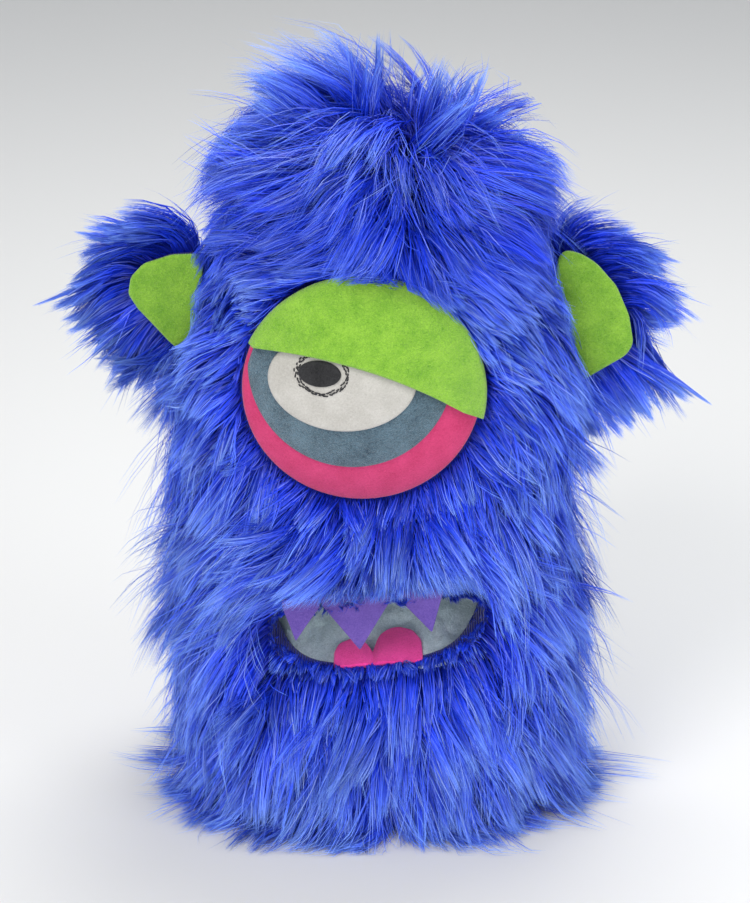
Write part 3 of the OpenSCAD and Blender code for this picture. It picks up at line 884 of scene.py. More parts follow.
def pile_piece(name, paths, normals, small, large, thick, material, dice, light_reach=1.0):
    """One mesh of fibres: each is a flat tapered ribbon of four quads and a pointed end."""
    count, steps = paths.shape[:2]
    tangent = np.gradient(paths, axis=1)
    tangent /= np.maximum(np.linalg.norm(tangent, axis=2, keepdims=True), 1e-9)
    face = normals[:, None, :]
    flat = np.cross(tangent, face)
    flat /= np.maximum(np.linalg.norm(flat, axis=2, keepdims=True), 1e-9)
    edge = np.cross(tangent, flat)
    twist = dice.uniform(-1.0, 1.0, count)[:, None, None]
    side = flat * np.cos(twist) + edge * np.sin(twist)
    width = thick * dice.uniform(0.7, 1.3, count)[:, None] * (1 - REACH[None, :] ** 2.2 * 0.88)
    left = paths - side * width[:, :, None] / 2
    right = paths + side * width[:, :, None] / 2
    points = np.empty((count, 2 * steps - 1, 3), np.float32)
    points[:, 0:2 * steps - 2:2] = left[:, :-1]
    points[:, 1:2 * steps - 2:2] = right[:, :-1]
    points[:, -1] = paths[:, -1]
    per = 2 * steps - 1
    loops = []
    for k in range(steps - 2):
        loops += [2 * k, 2 * k + 1, 2 * k + 3, 2 * k + 2]
    loops += [per - 3, per - 2, per - 1]
    sizes = [4] * (steps - 2) + [3]
    mesh = bpy.data.meshes.new(name)
    mesh.vertices.add(count * per)
    mesh.vertices.foreach_set("co", points.ravel())
    index = (np.array(loops)[None, :] + per * np.arange(count)[:, None]).astype(np.int32)
    mesh.loops.add(index.size)
    mesh.loops.foreach_set("vertex_index", index.ravel())
    starts = np.concatenate([[0], np.cumsum(sizes)[:-1]])
    starts = starts[None, :] + len(loops) * np.arange(count)[:, None]
    mesh.polygons.add(count * len(sizes))
    mesh.polygons.foreach_set("loop_start", starts.astype(np.int32).ravel())
    tip = np.repeat(REACH, 2)[:-1]
    fibre_tone = dice.random(count)
    small_tone = dice.random(int(small.max()) + 1)[small]
    large_tone = dice.random(int(large.max()) + 1)[large]
    # The tip mark is scaled per fibre: less reach keeps a fibre in the ramp's painted shade, more takes
    # it into the painted light.
    marks = {
        "tip": (np.broadcast_to(light_reach, count)[:, None] * tip[None, :]).ravel(),
        "fibre": np.repeat(fibre_tone, per),
        "lock": np.repeat(0.6 * small_tone + 0.4 * large_tone, per),
    }
    for mark, values in marks.items():
        layer = mesh.attributes.new(mark, "FLOAT", "POINT")
        layer.data.foreach_set("value", values.astype(np.float32))
    cells = int(math.ceil(math.sqrt(count)))
    column, row = np.arange(count) % cells, np.arange(count) // cells
    u = np.tile(np.array([0.25, 0.75] * (steps - 1) + [0.5]), (count, 1))
    v = np.tile(0.1 + 0.8 * tip, (count, 1))
    uv = np.stack([(column[:, None] + u) / cells, (row[:, None] + v) / cells], -1).reshape(-1, 2)
    layer = mesh.uv_layers.new(name="OFBake")
    layer.data.foreach_set("uv", uv[index.ravel()].astype(np.float32).ravel())
    mesh.update(calc_edges=True)
    mesh.shade_smooth()
    mesh.materials.append(material)
    piece = bpy.data.objects.new(name, mesh)
    bpy.context.scene.collection.objects.link(piece)
    return piece


# The root colour is painted shade; the tip colour is painted light, and the last colour a painted
# highlight.
royal_pile = pile_tone_and_painted_light("royal_pile", roots=(0.003, 0.013, 0.36), middle=(0.010, 0.050, 0.72),
                       lit_tips=(0.19, 0.36, 0.92), tip_highlight=(0.46, 0.60, 0.94))


def in_parts(word, paths, normals, small, large, panel, thick, dice, light_reach):
    """Cuts the pile along the panels' seams into pieces of a size that a mesh takes well."""
    most = 21500
    for number, panel_name in enumerate(PANELS):
        mine = np.flatnonzero(panel == number)
        if not len(mine):
            continue
        mine = mine[np.argsort(paths[mine, 0, 0] * np.sign(paths[mine, 0, 1] + 1e-6), kind="stable")]
        parts = math.ceil(len(mine) / most)
        for part, chosen in enumerate(np.array_split(mine, parts)):
            name = f"{panel_name}_{word}" + (f"_{part + 1}" if parts > 1 else "")
            piece = pile_piece(name, paths[chosen], normals[chosen], small[chosen], large[chosen],
                               thick, royal_pile, dice, light_reach[chosen])
            cling(piece, panel_name)
            pile_on[panel_name].append(piece)


def body_pile(word, count, full, thick, light_reach, big, fine, yield_share, dice):
    """One coat of pile over the whole tube: full is the length of its fibres on the cheeks."""
    roots, normals, face = scatter(skin_points, skin_faces, count, dice)
    panel = skin_panel[face]
    flow = combed(roots, normals, COMB, 0.022)
    x, y, z = roots.T
    front = y < -0.02
    away = np.hypot(x - EYE_X, z - EYE_Z) - EYE_R
    near_eye = np.where(front, eased(1 - away / 0.034), 0)
    out = np.stack([x - EYE_X, -0.3 * np.abs(z - EYE_Z), z - EYE_Z], -1)
    flow = unit(flow + unit(out) * (0.65 * near_eye)[:, None])
    share = 1 - 0.52 * near_eye
    lift = 0.95 - 0.30 * near_eye
    angle = mouth_angle(roots)
    middle = front & (np.abs(x) < 0.060)
    over_lip = eased(1 - (angle - LIP_UP) / 16) * middle * (angle > LIP_UP)
    under_lip = eased(1 - (LIP_DOWN - angle) / 14) * middle * (angle < LIP_DOWN)
    share -= 0.34 * over_lip + 0.42 * under_lip
    lift -= 0.30 * over_lip + 0.10 * under_lip
    crown = eased((z - 0.322) / 0.022)
    brow = eased((np.abs(x) - 0.034) / 0.030) * eased((z - 0.245) / 0.040)
    brow *= np.where(x < 0, 1.0, 0.85)
    share += 0.20 * crown - 0.42 * brow
    lift -= 0.42 * crown + 0.50 * brow
    waist = eased((x - 0.02) / 0.05) * np.exp(-((z - 0.175) / 0.045) ** 2)
    share -= 0.16 * waist
    lift -= 0.30 * waist
    share *= np.interp(z, [0.006, 0.05], [0.90, 1.0])
    keep = (away > 0.0005) | ~front
    kept = (roots, normals, flow, share, lift, panel)
    roots, normals, flow, share, lift, panel = (a[keep] for a in kept)
    paths, small, large = grow(roots, normals, flow, full * share, lift, 0.165, dice, big, fine)
    paths = trim_round_eye(paths, dice)
    paths = trim_at_lips(paths, dice)
    paths = crown_outline(paths, dice, yield_share)
    paths = swept_off_ears(paths, dice)
    paths = rest_on_floor(paths, dice)
    # Over the forehead the fibres get less reach along the ramp and are drawn darker.
    forehead = np.exp(-((roots[:, 2] - 0.318) / 0.022) ** 2) * (roots[:, 1] < 0)
    deep = light_reach * (1 - 0.40 * forehead * (0.5 + dice.random(int(large.max()) + 1)[large]))
    in_parts(word, paths, normals, small, large, panel, thick, dice, deep)


pile_on = {panel: [] for panel in PANELS}
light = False
# The undercoat gets less reach along the ramp, as painted shade deep in the pile; the wisps get more, as
# painted light.
body_pile("undercoat", 24000 if light else 60000, full=0.024, thick=0.00055, light_reach=0.45,
          big=0.0050, fine=0.0016, yield_share=0.1, dice=pile_dice)
body_pile("shag", 50000 if light else 150000, full=0.054, thick=0.00052, light_reach=1.0,
          big=0.0080, fine=0.0019, yield_share=0.2, dice=pile_dice)
body_pile("wisps", 3000 if light else 9000, full=0.070, thick=0.00042, light_reach=1.15,
          big=0.0110, fine=0.0040, yield_share=0.6, dice=pile_dice)


def crown_tufts(dice):
    """Loose tufts that stand clear of the crown, where the pile hasn't been brushed down."""
    tufts = (
        ((-0.022, -0.005), (-0.75, 0.00, 0.60), 0.062, 0.0100),
        ((-0.010, 0.006), (-0.85, 0.05, 0.38), 0.066, 0.0110),
        ((-0.002, -0.010), (-0.62, -0.05, 0.66), 0.058, 0.0080),
        ((0.008, 0.004), (-0.58, 0.00, 0.72), 0.056, 0.0090),
        ((-0.034, -0.012), (-0.90, -0.05, 0.28), 0.052, 0.0100),
        ((-0.044, -0.004), (-0.92, 0.00, 0.02), 0.044, 0.0100),
        ((0.022, 0.002), (-0.12, 0.00, 0.95), 0.036, 0.0055),
        ((0.033, -0.002), (0.12, 0.00, 0.95), 0.038, 0.0060),
        ((0.040, 0.006), (0.45, 0.05, 0.75), 0.034, 0.0060),
        ((0.053, -0.006), (0.70, 0.00, 0.40), 0.034, 0.0080),
        ((-0.004, 0.022), (-0.45, 0.30, 0.55), 0.045, 0.0090),
        ((0.020, -0.024), (0.35, -0.30, 0.30), 0.040, 0.0080),
    )
    roots, flow, length = [], [], []
    top = skin_centres[skin_centres[:, 2] > 0.30]
    for (x, y), way, long, wide in tufts:
        count = int((90 if light else 260) * wide / 0.008)
        near = top[np.hypot(top[:, 0] - x, top[:, 1] - y) < wide]
        roots.append(near[dice.integers(len(near), size=count)] + dice.normal(0, 0.0008, (count, 3)))
        flow.append(np.tile(way, (count, 1)))
        length.append(long * dice.uniform(0.7, 1.15, count))
    roots, flow, length = np.concatenate(roots), unit(np.concatenate(flow)), np.concatenate(length)
    normals = unit(roots - np.array([0, 0, 0.27]))
    lift = np.full(len(roots), 0.55)
    paths, small, large = grow(roots, normals, flow, length, lift, 0.0035, dice, 0.0075, 0.0018)
    paths = rest_on_floor(paths, dice)
    # The tufts get a little more reach along the ramp, so more painted light.
    piece = pile_piece("crown_tufts", paths, normals, small, large, 0.00046,
                       royal_pile, dice, 1.1)
    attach(piece, "head")
    pile_on["head"].append(piece)


crown_tufts(pile_dice)


def lip_pile(word, body, count, dice):
    """Close-cut fibres on the turned-in edge, leaning forward and away from the mouth."""
    points, faces = lips[word]
    roots, normals, _ = scatter(points, faces, count, dice)
    middle_z = FOLD_Z + roots[:, 0] * math.tan(MOUTH_ROLL)
    inward = unit(np.stack([-roots[:, 0] * 0.5, np.full(count, -0.012), middle_z - roots[:, 2]], -1))
    outer = np.stack([roots[:, 0] * 9, np.full(count, -0.5), (roots[:, 2] - middle_z) * 30], -1)
    flow = unit(outer + np.array([0, -0.35, -0.10]))
    deep = eased((roots[:, 1] + SKIN_W * SKIN_RATIO) / 0.014)
    length = (0.012 - 0.007 * deep) * dice.uniform(0.8, 1.2, count)
    lift = np.full(count, 0.75)
    paths, small, large = grow(roots, inward, flow, length, lift, 0.004, dice, 0.004, 0.0012)
    # The lip pile gets less reach along the ramp and keeps more painted shade.
    piece = pile_piece(f"{word}_lip_pile", paths, inward, small, large, 0.00042,
                       royal_pile, dice, 0.7)
    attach(piece, body)


# Each panel's width, length and area, as laid out flat
CUTS = {
    "head": (0.235, 0.52, 0.099), "neck": (0.20, 0.075, 0.0139), "chin": (0.108, 0.060, 0.0058),
    "cheek_left": (0.036, 0.042, 0.0013), "cheek_right": (0.036, 0.042, 0.0013),
    "jowl_left": (0.060, 0.050, 0.0020), "jowl_right": (0.060, 0.050, 0.0026),
    "sleeve": (0.47, 0.110, 0.0275),
}
for panel, (wide, long, area) in CUTS.items():
    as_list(pile_on[panel])
lip_pile("upper", "head", 4000 if light else 9000, pile_dice)
lip_pile("lower", "jaw", 3500 if light else 9000, pile_dice)

# ---- Ears ----
# Each ear is a blunt leaf of lime fleece over a backing of the same blue fur, sewn into the
# side seam at its root. The pile of the backing streams out past the fleece all round.
hinges = {joint["name"]: Vector(joint["pos_m"]) for joint in frame["joints"]}
EAR_BACK_Y = -0.0078
EAR_SHELL = 0.013


def cut_reach(corners, soften=0.10):
    """How far a cut outline reaches from its middle in each direction, with rounded corners."""
    corners = np.array(corners)
    ends = np.roll(corners, -1, axis=0)

    def reach(phi):
        total = np.zeros_like(phi)
        turns = np.linspace(-soften, soften, 9)
        ex, ey = (ends - corners).T
        for turn in turns:
            c, s = np.cos(phi + turn)[:, None], np.sin(phi + turn)[:, None]
            under = c * ey - s * ex
            under = np.where(np.abs(under) < 1e-12, 1e-12, under)
            far = (corners[:, 0] * ey - corners[:, 1] * ex) / under
            along = (corners[:, 0] * s - corners[:, 1] * c) / under
            hit = (far > 0) & (along >= -1e-9) & (along <= 1 + 1e-9)
            total += np.where(hit, far, 1e9).min(1)
        return total / len(turns)

    return reach


def felt_shape(reach, place, thick, edge, spokes=180, rings=18):
    """A cut shape with soft edges. place(x, z, h) puts a point of it, h above its underside."""
    phi = np.linspace(0, 2 * math.pi, spokes, endpoint=False)
    out = reach(phi)
    levels = [((out - edge) * i / rings, np.full(spokes, 1.0)) for i in range(1, rings)]
    for a in np.linspace(math.pi / 2, -math.pi / 2, 9):
        levels.append((out - edge * (1 - math.cos(a)), np.full(spokes, 0.5 + 0.5 * math.sin(a))))
    levels += [((out - edge) * share, np.zeros(spokes)) for share in (0.75, 0.5, 0.25)]
    points = [place(np.array([0.0]), np.array([0.0]), np.array([thick]))]
    for far, high in levels:
        points.append(place(far * np.cos(phi), far * np.sin(phi), high * thick))
    points.append(place(np.array([0.0]), np.array([0.0]), np.array([0.0])))
    points = np.concatenate(points)
    faces = []
    for j in range(spokes):
        faces.append((0, 1 + (j + 1) % spokes, 1 + j))
    for i in range(len(levels) - 1):
        for j in range(spokes):
            a, b = 1 + i * spokes + j, 1 + i * spokes + (j + 1) % spokes
            faces.append((a, b, b + spokes, a + spokes))
    last = 1 + (len(levels) - 1) * spokes
    for j in range(spokes):
        faces.append((last + spokes, last + j, last + (j + 1) % spokes))
    return points, faces


def outward(points, faces):
    """The same faces, turned so that their front sides look out of the closed shape."""
    volume = 0
    for f in faces:
        for i in range(1, len(f) - 1):
            volume += np.dot(points[f[0]], np.cross(points[f[i]], points[f[i + 1]]))
    return faces if volume > 0 else [tuple(reversed(f)) for f in faces]


def clouded(nodes, link, grain, place, scale, share, detail=2.0):
    """A fine grain with a share of slow cloud added to it."""
    cloud = nodes.new("ShaderNodeTexNoise")
    cloud.inputs["Scale"].default_value = scale
    cloud.inputs["Detail"].default_value = detail
    link(place.outputs["Object"], cloud.inputs["Vector"])
    join = nodes.new("ShaderNodeMath")
    join.operation = "MULTIPLY_ADD"
    join.inputs[1].default_value = share
    link(cloud.outputs["Fac"], join.inputs[0])
    link(grain.outputs["Fac"], join.inputs[2])
    return join.outputs[0]


def brushed_fleece(name, dark, light, size, depth):
    """Pilled fleece: tight little curls of fibre, darker where they part as painted shade."""
    made, nodes, link, shader = new_material(name, 0.9, sheen=0.35, specular=0.15)
    shader.inputs["Sheen Roughness"].default_value = 0.5
    curl, place = noise_bump(nodes, link, shader, 1 / size, depth, detail=5)
    curl.inputs["Distortion"].default_value = 1.6
    # The colour follows the curls' height, which paints shade into the hollows between them, with a slow
    # cloud of uneven tone on top.
    nap_shade_and_tone = clouded(nodes, link, curl, place, 0.12 / size, 0.45, detail=3)
    two_tone(nodes, link, shader, nap_shade_and_tone, dark, light, 0.52, 0.88)
    return made


lime_fleece = brushed_fleece("lime_fleece_cloth", (0.12, 0.33, 0.014), (0.30, 0.58, 0.048),
                             0.0011, 0.0011)

EAR_COMB_OUT = (
    ((0.030, 0.000, 0.040), (0.80, 0.10, 0.45)),
    ((0.045, 0.000, 0.015), (0.97, 0.00, -0.10)),
    ((0.035, 0.000, -0.020), (0.75, 0.00, -0.65)),
    ((0.012, 0.000, 0.040), (0.55, 0.15, 0.70)),
    ((0.010, 0.000, -0.035), (0.35, 0.05, -0.90)),
    ((0.020, 0.014, 0.005), (0.70, 0.15, -0.60)),
)


def ear_place(side, hinge, droop, push):
    """Puts a point of the ear's flat pattern, x outwards and z up, on the drooping ear."""
    c, s = math.cos(droop), math.sin(droop)

    def place(x, z, h):
        lean = push * h - 0.0035 * (x / 0.04) ** 2 * (1 if push < 0 else 0.4)
        out, up = x * c + z * s, -x * s + z * c
        return np.stack([hinge.x + side * out, hinge.y + EAR_BACK_Y + lean, hinge.z + up], -1)

    return place


def ear(word, side, droop, outline):
    """One whole ear: its fleece facing, its stuffed backing and the pile that streams from it."""
    body, hinge = f"ear_{word}", hinges[f"ear_{word}_flap"]
    outline = np.array(outline) * MM
    middle = outline.mean(0)
    pattern = cut_reach(outline - middle)

    def shifted(place):
        return lambda x, z, h: place(x + middle[0], z + middle[1], h)

    front = shifted(ear_place(side, hinge, droop, -1))
    back = shifted(ear_place(side, hinge, droop, 1))
    points, faces = felt_shape(pattern, front, 0.0028, 0.0022)
    faces = outward(points, faces)
    facing = new_piece(f"ear_{word}_facing", points, faces, lime_fleece, body)
    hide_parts(f"ear_{word}_fleece")
    points, faces = felt_shape(lambda phi: pattern(phi) - 0.0025, back, EAR_SHELL, 0.010)
    faces = outward(points, faces)
    shell = new_piece(f"ear_{word}_shell", points, faces, knit, body)
    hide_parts(f"ear_{word}_fur")
    dice = np.random.default_rng(31 if side < 0 else 32)
    centres = np.array([points[list(f)].mean(0) for f in faces])
    rim = [f for f, c in zip(faces, centres) if c[1] > hinge.y + EAR_BACK_Y + 0.45 * EAR_SHELL]
    count = 7000 if light else 20000
    roots, normals, _ = scatter(points, rim, count, dice)
    comb = []
    for (x, y, z), (out, rear, up) in EAR_COMB_OUT:
        comb.append(((hinge.x + side * x, y, hinge.z + z), (side * out, rear, up)))
    flow = combed(roots, normals, comb, 0.016)
    length = 0.040 * dice.uniform(0.85, 1.2, count)
    paths, small, large = grow(roots, normals, flow, length, np.full(count, 0.55), 0.009, dice)
    c, s = math.cos(droop), math.sin(droop)
    for k in range(1, paths.shape[1]):
        p = paths[:, k]
        out, up = side * (p[:, 0] - hinge.x), p[:, 2] - hinge.z
        x, z = out * c - up * s - middle[0], out * s + up * c - middle[1]
        behind = np.hypot(x, z) < pattern(np.arctan2(z, x)) + 0.0025
        p[:, 1] = np.where(behind, np.maximum(p[:, 1], hinge.y + EAR_BACK_Y + 0.001), p[:, 1])
    paths = rest_on_floor(paths, dice)
    piece = pile_piece(f"ear_{word}_pile", paths, normals, small, large, 0.00055,
                       royal_pile, dice)
    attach(piece, body)


ear("left", -1, math.radians(-3),
    [(2, 26), (18, 25), (32, 20), (38, 13), (39, 4), (34, -4), (15, -24), (4, -30)])
ear("right", 1, math.radians(14),
    [(-5, 38), (4, 39), (14, 36), (27, 27), (37, 14), (43, 0), (41, -7), (21, -29), (8, -34), (-2, 0)])

# ---- Eye ----
# A domed stack of cut cloth, glued and sewn to the foam: a hot-pink felt disc, a teal fleece
# round, a white felt oval, a black felt pupil ringed by hand stitches, and a lime fleece lid
# that is sewn down over the top, so the eye never opens.


def short_felt(name, dark, light):
    """Pressed wool: short tangled fibres, faintly and unevenly dyed."""
    made, nodes, link, shader = new_material(name, 0.92, sheen=0.25, specular=0.15)
    fibre, place = noise_bump(nodes, link, shader, 1 / 0.0009, 0.00035, detail=6)
    fibre.inputs["Distortion"].default_value = 0.8
    mat = clouded(nodes, link, fibre, place, 90, 0.5)
    two_tone(nodes, link, shader, mat, dark, light, 0.5, 0.95)
    return made


def oval_reach(half_w, half_h):
    return lambda phi: half_w * half_h / np.hypot(half_h * np.cos(phi), half_w * np.sin(phi))


def on_dome(base, dx, dz):
    """Places a layer of the eye on its dome, base above the disc's face, about its own middle."""

    def place(x, z, h):
        x, z = x + dx, z + dz
        r = EYE_DOME + base + h
        return np.stack([EYE_X + x, EYE_BALL_Y - np.sqrt(r * r - x * x - z * z), EYE_Z + z], -1)

    return place


def eye_layer(name, node, material, reach, base, thick, middle, edge):
    points, faces = felt_shape(reach, on_dome(base, *middle), thick, edge)
    layer = new_piece(name, points, outward(points, faces), material, "head")
    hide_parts(node)


LID_R = EYE_R + 0.0025
LID_ARC_R = 0.152
LID_ARC_TOP = 0.025
LID_MIDDLE = (0.004, 0.037)
TEAL_R = 0.0505
TEAL_PLACE = (-0.0055, 0.014)


def round_reach(phi, start, centre, radius):
    """How far a round reaches from a starting point inside it."""
    gap = np.array(start) - np.array(centre)
    across = np.cos(phi) * gap[0] + np.sin(phi) * gap[1]
    return -across + np.sqrt(across ** 2 + radius ** 2 - (gap ** 2).sum())


def lid_reach(phi):
    """The lid is a round of cloth cut off below by a shallow arc that slopes down to the right."""
    gap = np.array(LID_MIDDLE) - np.array([-0.044, LID_ARC_TOP - LID_ARC_R])
    across = np.cos(phi) * gap[0] + np.sin(phi) * gap[1]
    under = across ** 2 - (gap ** 2).sum() + LID_ARC_R ** 2
    arc = np.where((under > 0) & (across < 0), -across - np.sqrt(np.maximum(under, 0)), 1e3)
    whole = round_reach(phi, LID_MIDDLE, (0, 0), LID_R)
    return (whole ** -40.0 + arc ** -40.0) ** (-1 / 40)


def teal_reach(phi):
    """A round, trimmed to stay inside the pink disc where the lid hides it."""
    own = round_reach(phi, (0, 0), (0, 0), TEAL_R)
    return np.minimum(own, round_reach(phi, TEAL_PLACE, (0, 0), EYE_R - 0.0015))


pink_felt = short_felt("pink_felt_cloth", (0.45, 0.021, 0.096), (0.63, 0.053, 0.175))
teal_fleece = brushed_fleece("teal_fleece_cloth", (0.010, 0.038, 0.065), (0.115, 0.20, 0.26),
                             0.0012, 0.0014)
white_felt = short_felt("white_felt_cloth", (0.37, 0.355, 0.328), (0.51, 0.497, 0.468))
black_felt = short_felt("black_felt_cloth", (0.008, 0.008, 0.009), (0.035, 0.035, 0.038))

eye_layer("pink_disc", "eye_disc", pink_felt, oval_reach(EYE_R, EYE_R),
          -0.0022, 0.0022, (0, 0), 0.0012)
eye_layer("teal_round", "eye_iris", teal_fleece, teal_reach,
          0.0001, 0.0018, TEAL_PLACE, 0.0016)
eye_layer("white_oval", "eye_white", white_felt, oval_reach(0.0365, 0.025),
          0.0018, 0.0015, (-0.0095, 0.010), 0.0012)
eye_layer("black_pupil", "eye_pupil", black_felt, oval_reach(0.0105, 0.0065),
          0.0032, 0.0014, (-0.0205, 0.015), 0.0008)
eye_layer("lime_lid", "eyelid", lime_fleece, lid_reach,
          0.0048, 0.0032, LID_MIDDLE, 0.0026)


def thread_finish():
    made, nodes, link, shader = new_material("black_cotton_thread", 0.6, specular=0.35)
    twist, place = noise_bump(nodes, link, shader, 2500, 0.0001)
    two_tone(nodes, link, shader, twist.outputs["Fac"], (0.006, 0.006, 0.007), (0.05, 0.05, 0.055))
    return made


def pupil_stitches():
    """Two uneven rounds of short hand stitches round the pupil, each stitch a bowed thread."""
    dice = np.random.default_rng(41)
    place = on_dome(0.0034, -0.0193, 0.0148)
    points, faces = [], []
    turn, steps = 8, 7
    for half_w, half_h, count in ((0.0118, 0.0095, 40), (0.0129, 0.0107, 44)):
        for i in range(count):
            start = 2 * math.pi * (i + dice.uniform(-0.25, 0.1)) / count
            end = start + 2 * math.pi / count * dice.uniform(0.72, 0.98)
            drift = dice.normal(0, 0.00035)
            skew = dice.normal(0, 0.00025)
            rows = []
            for k in range(steps):
                t = k / (steps - 1)
                a = start + (end - start) * t
                wide = half_w + drift + skew * (t - 0.5)
                high = half_h + drift + skew * (t - 0.5)
                rows.append((wide * math.cos(a), high * math.sin(a), 0.00035 * math.sin(math.pi * t)))
            rows = np.array(rows)
            path = place(rows[:, 0], rows[:, 1], rows[:, 2])
            along = unit(np.gradient(path, axis=0))
            across = unit(np.cross(along, np.array([[0, -1, 0]])))
            up = np.cross(across, along)
            first = len(points)
            for k in range(steps):
                thick = 0.00042 * (0.35 + 0.65 * math.sin(math.pi * (0.12 + 0.76 * k / (steps - 1))))
                for n in range(turn):
                    b = 2 * math.pi * n / turn
                    points.append(path[k] + thick * (across[k] * math.cos(b) + up[k] * math.sin(b)))
            faces += [tuple(first + corner for corner in face) for face in tube_faces(steps, turn)]
            faces.append(tuple(first + n for n in reversed(range(turn))))
            faces.append(tuple(first + (steps - 1) * turn + n for n in range(turn)))
    ring = new_piece("pupil_stitches", points, faces, thread_finish(), "head")
    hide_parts("pupil_stitch")


pupil_stitches()

# ---- Mouth lining ----
# Two rounded pieces of grey-green fleece, folded into each other at the back of the mouth and
# eased on the lower board, where the cloth bunches into soft creases behind the tongue.
PLATE_HALF = 0.053
PLATE_REACH = 0.066
PLATE_CORNER = 0.030
PLATE_START = 0.0035
UPPER_TILT = -16
LOWER_TILT = 18


def in_plate(tilt, x, y, h):
    """A point of a mouth board's own frame: x along the fold, -y out to the lip, h up."""
    t, r = math.radians(tilt), MOUTH_ROLL
    y2, z2 = y * math.cos(t) - h * math.sin(t), y * math.sin(t) + h * math.cos(t)
    x3, z3 = x * math.cos(r) - z2 * math.sin(r), x * math.sin(r) + z2 * math.cos(r)
    return np.stack([x3, y2, FOLD_Z + z3], -1)


def mouth_lining(name, node, body, tilt, upper):
    """The cloth on one mouth board, creased most towards the fold."""
    wide, deep = 90, 60
    u = np.sin(np.linspace(-math.pi / 2, math.pi / 2, wide))
    v = np.linspace(0, 1, deep) ** 0.9
    v, u = np.meshgrid(v, u, indexing="ij")
    x = PLATE_HALF * u.ravel()
    corner = np.clip(np.abs(x) - (PLATE_HALF - PLATE_CORNER), 0, PLATE_CORNER)
    far = PLATE_REACH - PLATE_CORNER + np.sqrt(np.maximum(PLATE_CORNER ** 2 - corner ** 2, 0))
    y = -(PLATE_START + (far - PLATE_START) * v.ravel())
    flat = np.stack([x, y, 0 * x], -1)
    edge = eased((far + y) / 0.006) * eased(1 - np.abs(u.ravel()) ** 8)
    pull = smooth_noise(flat * np.array([1.0, 0.45, 1]), 0.022, 51 if upper else 53)
    pinch = smooth_noise(flat * np.array([0.5, 1.0, 1]), 0.014, 52)
    crease = (np.abs(pull) ** 0.8 * 0.0020 + np.clip(pinch, 0, 1) * 0.0012) * edge
    back = eased(1 + (y + 0.030) / 0.022)
    h = crease * (0.7 if upper else 0.7 + 0.7 * back) + 0.0006
    points = in_plate(tilt, x, y, 0.0016 - h if upper else h - 0.0010)
    faces = []
    for i in range(deep - 1):
        for j in range(wide - 1):
            a = i * wide + j
            quad = (a, a + 1, a + wide + 1, a + wide)
            faces.append(quad if upper else tuple(reversed(quad)))
    cloth = new_piece(name, points, faces, lining_fleece_painted_light, body)
    thick = cloth.modifiers.new("cloth", "SOLIDIFY")
    thick.thickness = 0.0014
    thick.offset = -1
    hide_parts(node)


# These colours are paler than the grey-green fleece's own: painted light in the shaded mouth.
lining_fleece_painted_light = brushed_fleece("lining_fleece_cloth", (0.38, 0.52, 0.56), (0.74, 0.86, 0.91),
                               0.0013, 0.0012)
mouth_lining("palate_lining", "upper_mouth_lining", "head", UPPER_TILT, True)
mouth_lining("floor_lining", "lower_mouth_lining", "jaw", LOWER_TILT, False)


def fold_roll():
    """The fold at the back of the mouth: a soft bunched roll of the same fleece."""
    half = (fold_high.x - fold_low.x) / 2 - 0.001
    long, turn = 140, 20
    points = []
    for x in np.linspace(-half, half, long):
        end = math.sqrt(max(0.0, 1 - (abs(x) / half) ** 10))
        for n in range(turn):
            b = 2 * math.pi * n / turn
            points.append((x, math.cos(b), math.sin(b), end))
    points = np.array(points)
    bunch = 0.0030 + 0.0007 * smooth_noise(points[:, :3] * np.array([1, 0.004, 0.004]), 0.011, 61)
    r = bunch * np.maximum(points[:, 3], 0.05)
    place = in_plate(0, points[:, 0], points[:, 1] * r, points[:, 2] * r)
    faces = tube_faces(long, turn)
    faces.append(tuple(reversed(range(turn))))
    faces.append(tuple((long - 1) * turn + n for n in range(turn)))
    roll = new_piece("lining_fold", place, faces, lining_fleece_painted_light, "sleeve")
    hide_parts("mouth_fold")


fold_roll()

# ---- Tongue ----
# One piece of hot-pink felt cut as two rounded lobes, sewn flat to the floor of the mouth with
# its front edge caught under the chin's fur.
TONGUE = [(-24, -66), (-23.5, -54), (-21, -48), (-14.5, -45), (-8, -48), (-4, -56),
          (-0.5, -45), (5, -39.5), (10, -38.5), (17, -41.5), (21, -49.5), (21.5, -66)]


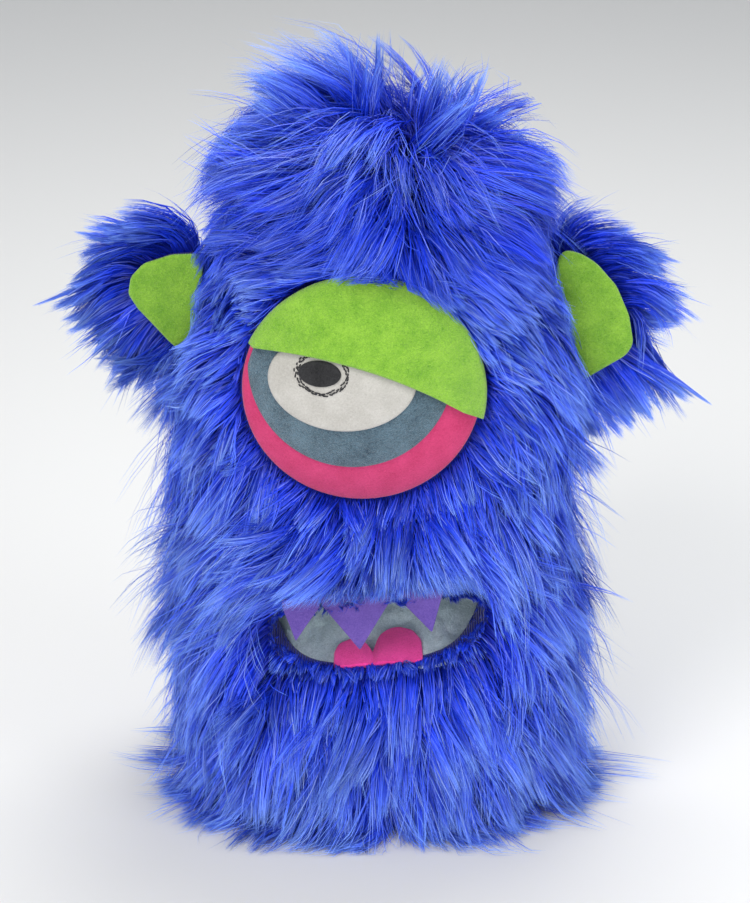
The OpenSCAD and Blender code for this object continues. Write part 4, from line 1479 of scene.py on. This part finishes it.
def tongue():
    outline = np.array(TONGUE) * MM
    middle = np.array([-0.003, -0.0605])
    reach = cut_reach(outline - middle, soften=0.07)

    def place(x, y, h):
        far = np.hypot(x, y)
        puff = 0.0016 * np.clip(1 - (far / 0.030) ** 2, 0, 1) * (h > 0.0005)
        notch = 0.0012 * np.exp(-((x + 0.001 - 0.05 * y) / 0.0022) ** 2) * (h > 0.0005)
        return in_plate(LOWER_TILT, x + middle[0], y + middle[1], 0.0012 + h + puff - notch)

    points, faces = felt_shape(reach, place, 0.0022, 0.0012, spokes=220, rings=24)
    felt = new_piece("tongue_felt", points, outward(points, faces), tongue_felt, "jaw")
    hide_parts("tongue")


tongue_felt = short_felt("tongue_felt_cloth", (0.64, 0.026, 0.21), (0.88, 0.065, 0.35))
tongue()

# ---- Teeth ----
# Three pointed teeth of violet felt, the middle one largest, sewn by their upper edges under
# the fur of the upper lip, from which they hang free.
TOOTH_TOP = 0.005
TEETH_UP = 0.021
violet_felt = short_felt("violet_felt_cloth", (0.080, 0.045, 0.26), (0.17, 0.10, 0.41))


def tooth(name, corner_x, lower, width, drop, tip, turn, curl):
    """A felt triangle with a straight top to be sewn by; its tip curls back or forward."""
    outline = np.array([(0, TOOTH_TOP), (width, TOOTH_TOP), (width, 0), (tip, -drop), (0, 0)])
    middle = np.array([(width + tip) / 3, -drop * 0.30])
    reach = cut_reach(outline - middle, soften=0.035)
    sewn_z = FOLD_Z + TEETH_UP + lower
    back_y = -(PLATE_REACH + 0.0015)

    def place(x, z, h):
        x, z = x + middle[0], z + middle[1]
        hang = np.clip(-z / drop, 0, 1)
        y = back_y - h - curl * hang ** 2 + math.sin(turn) * x
        across = math.cos(turn) * x
        c, s = math.cos(MOUTH_ROLL), math.sin(MOUTH_ROLL)
        return np.stack([corner_x + across * c - z * s, y, sewn_z + across * s + z * c], -1)

    points, faces = felt_shape(reach, place, 0.0020, 0.0008, spokes=200, rings=16)
    felt = new_piece(name + "_felt", points, outward(points, faces), violet_felt, "head")
    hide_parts(name)


tooth("tooth_left", -0.0478, -0.0048, 0.019, 0.018, 0.005, math.radians(-4), 0.0012)
tooth("tooth_middle", -0.0283, -0.0028, 0.035, 0.027, 0.017, 0.0, -0.0010)
tooth("tooth_right", 0.0072, 0.0035, 0.026, 0.023, 0.018, 0.0, 0.0008)
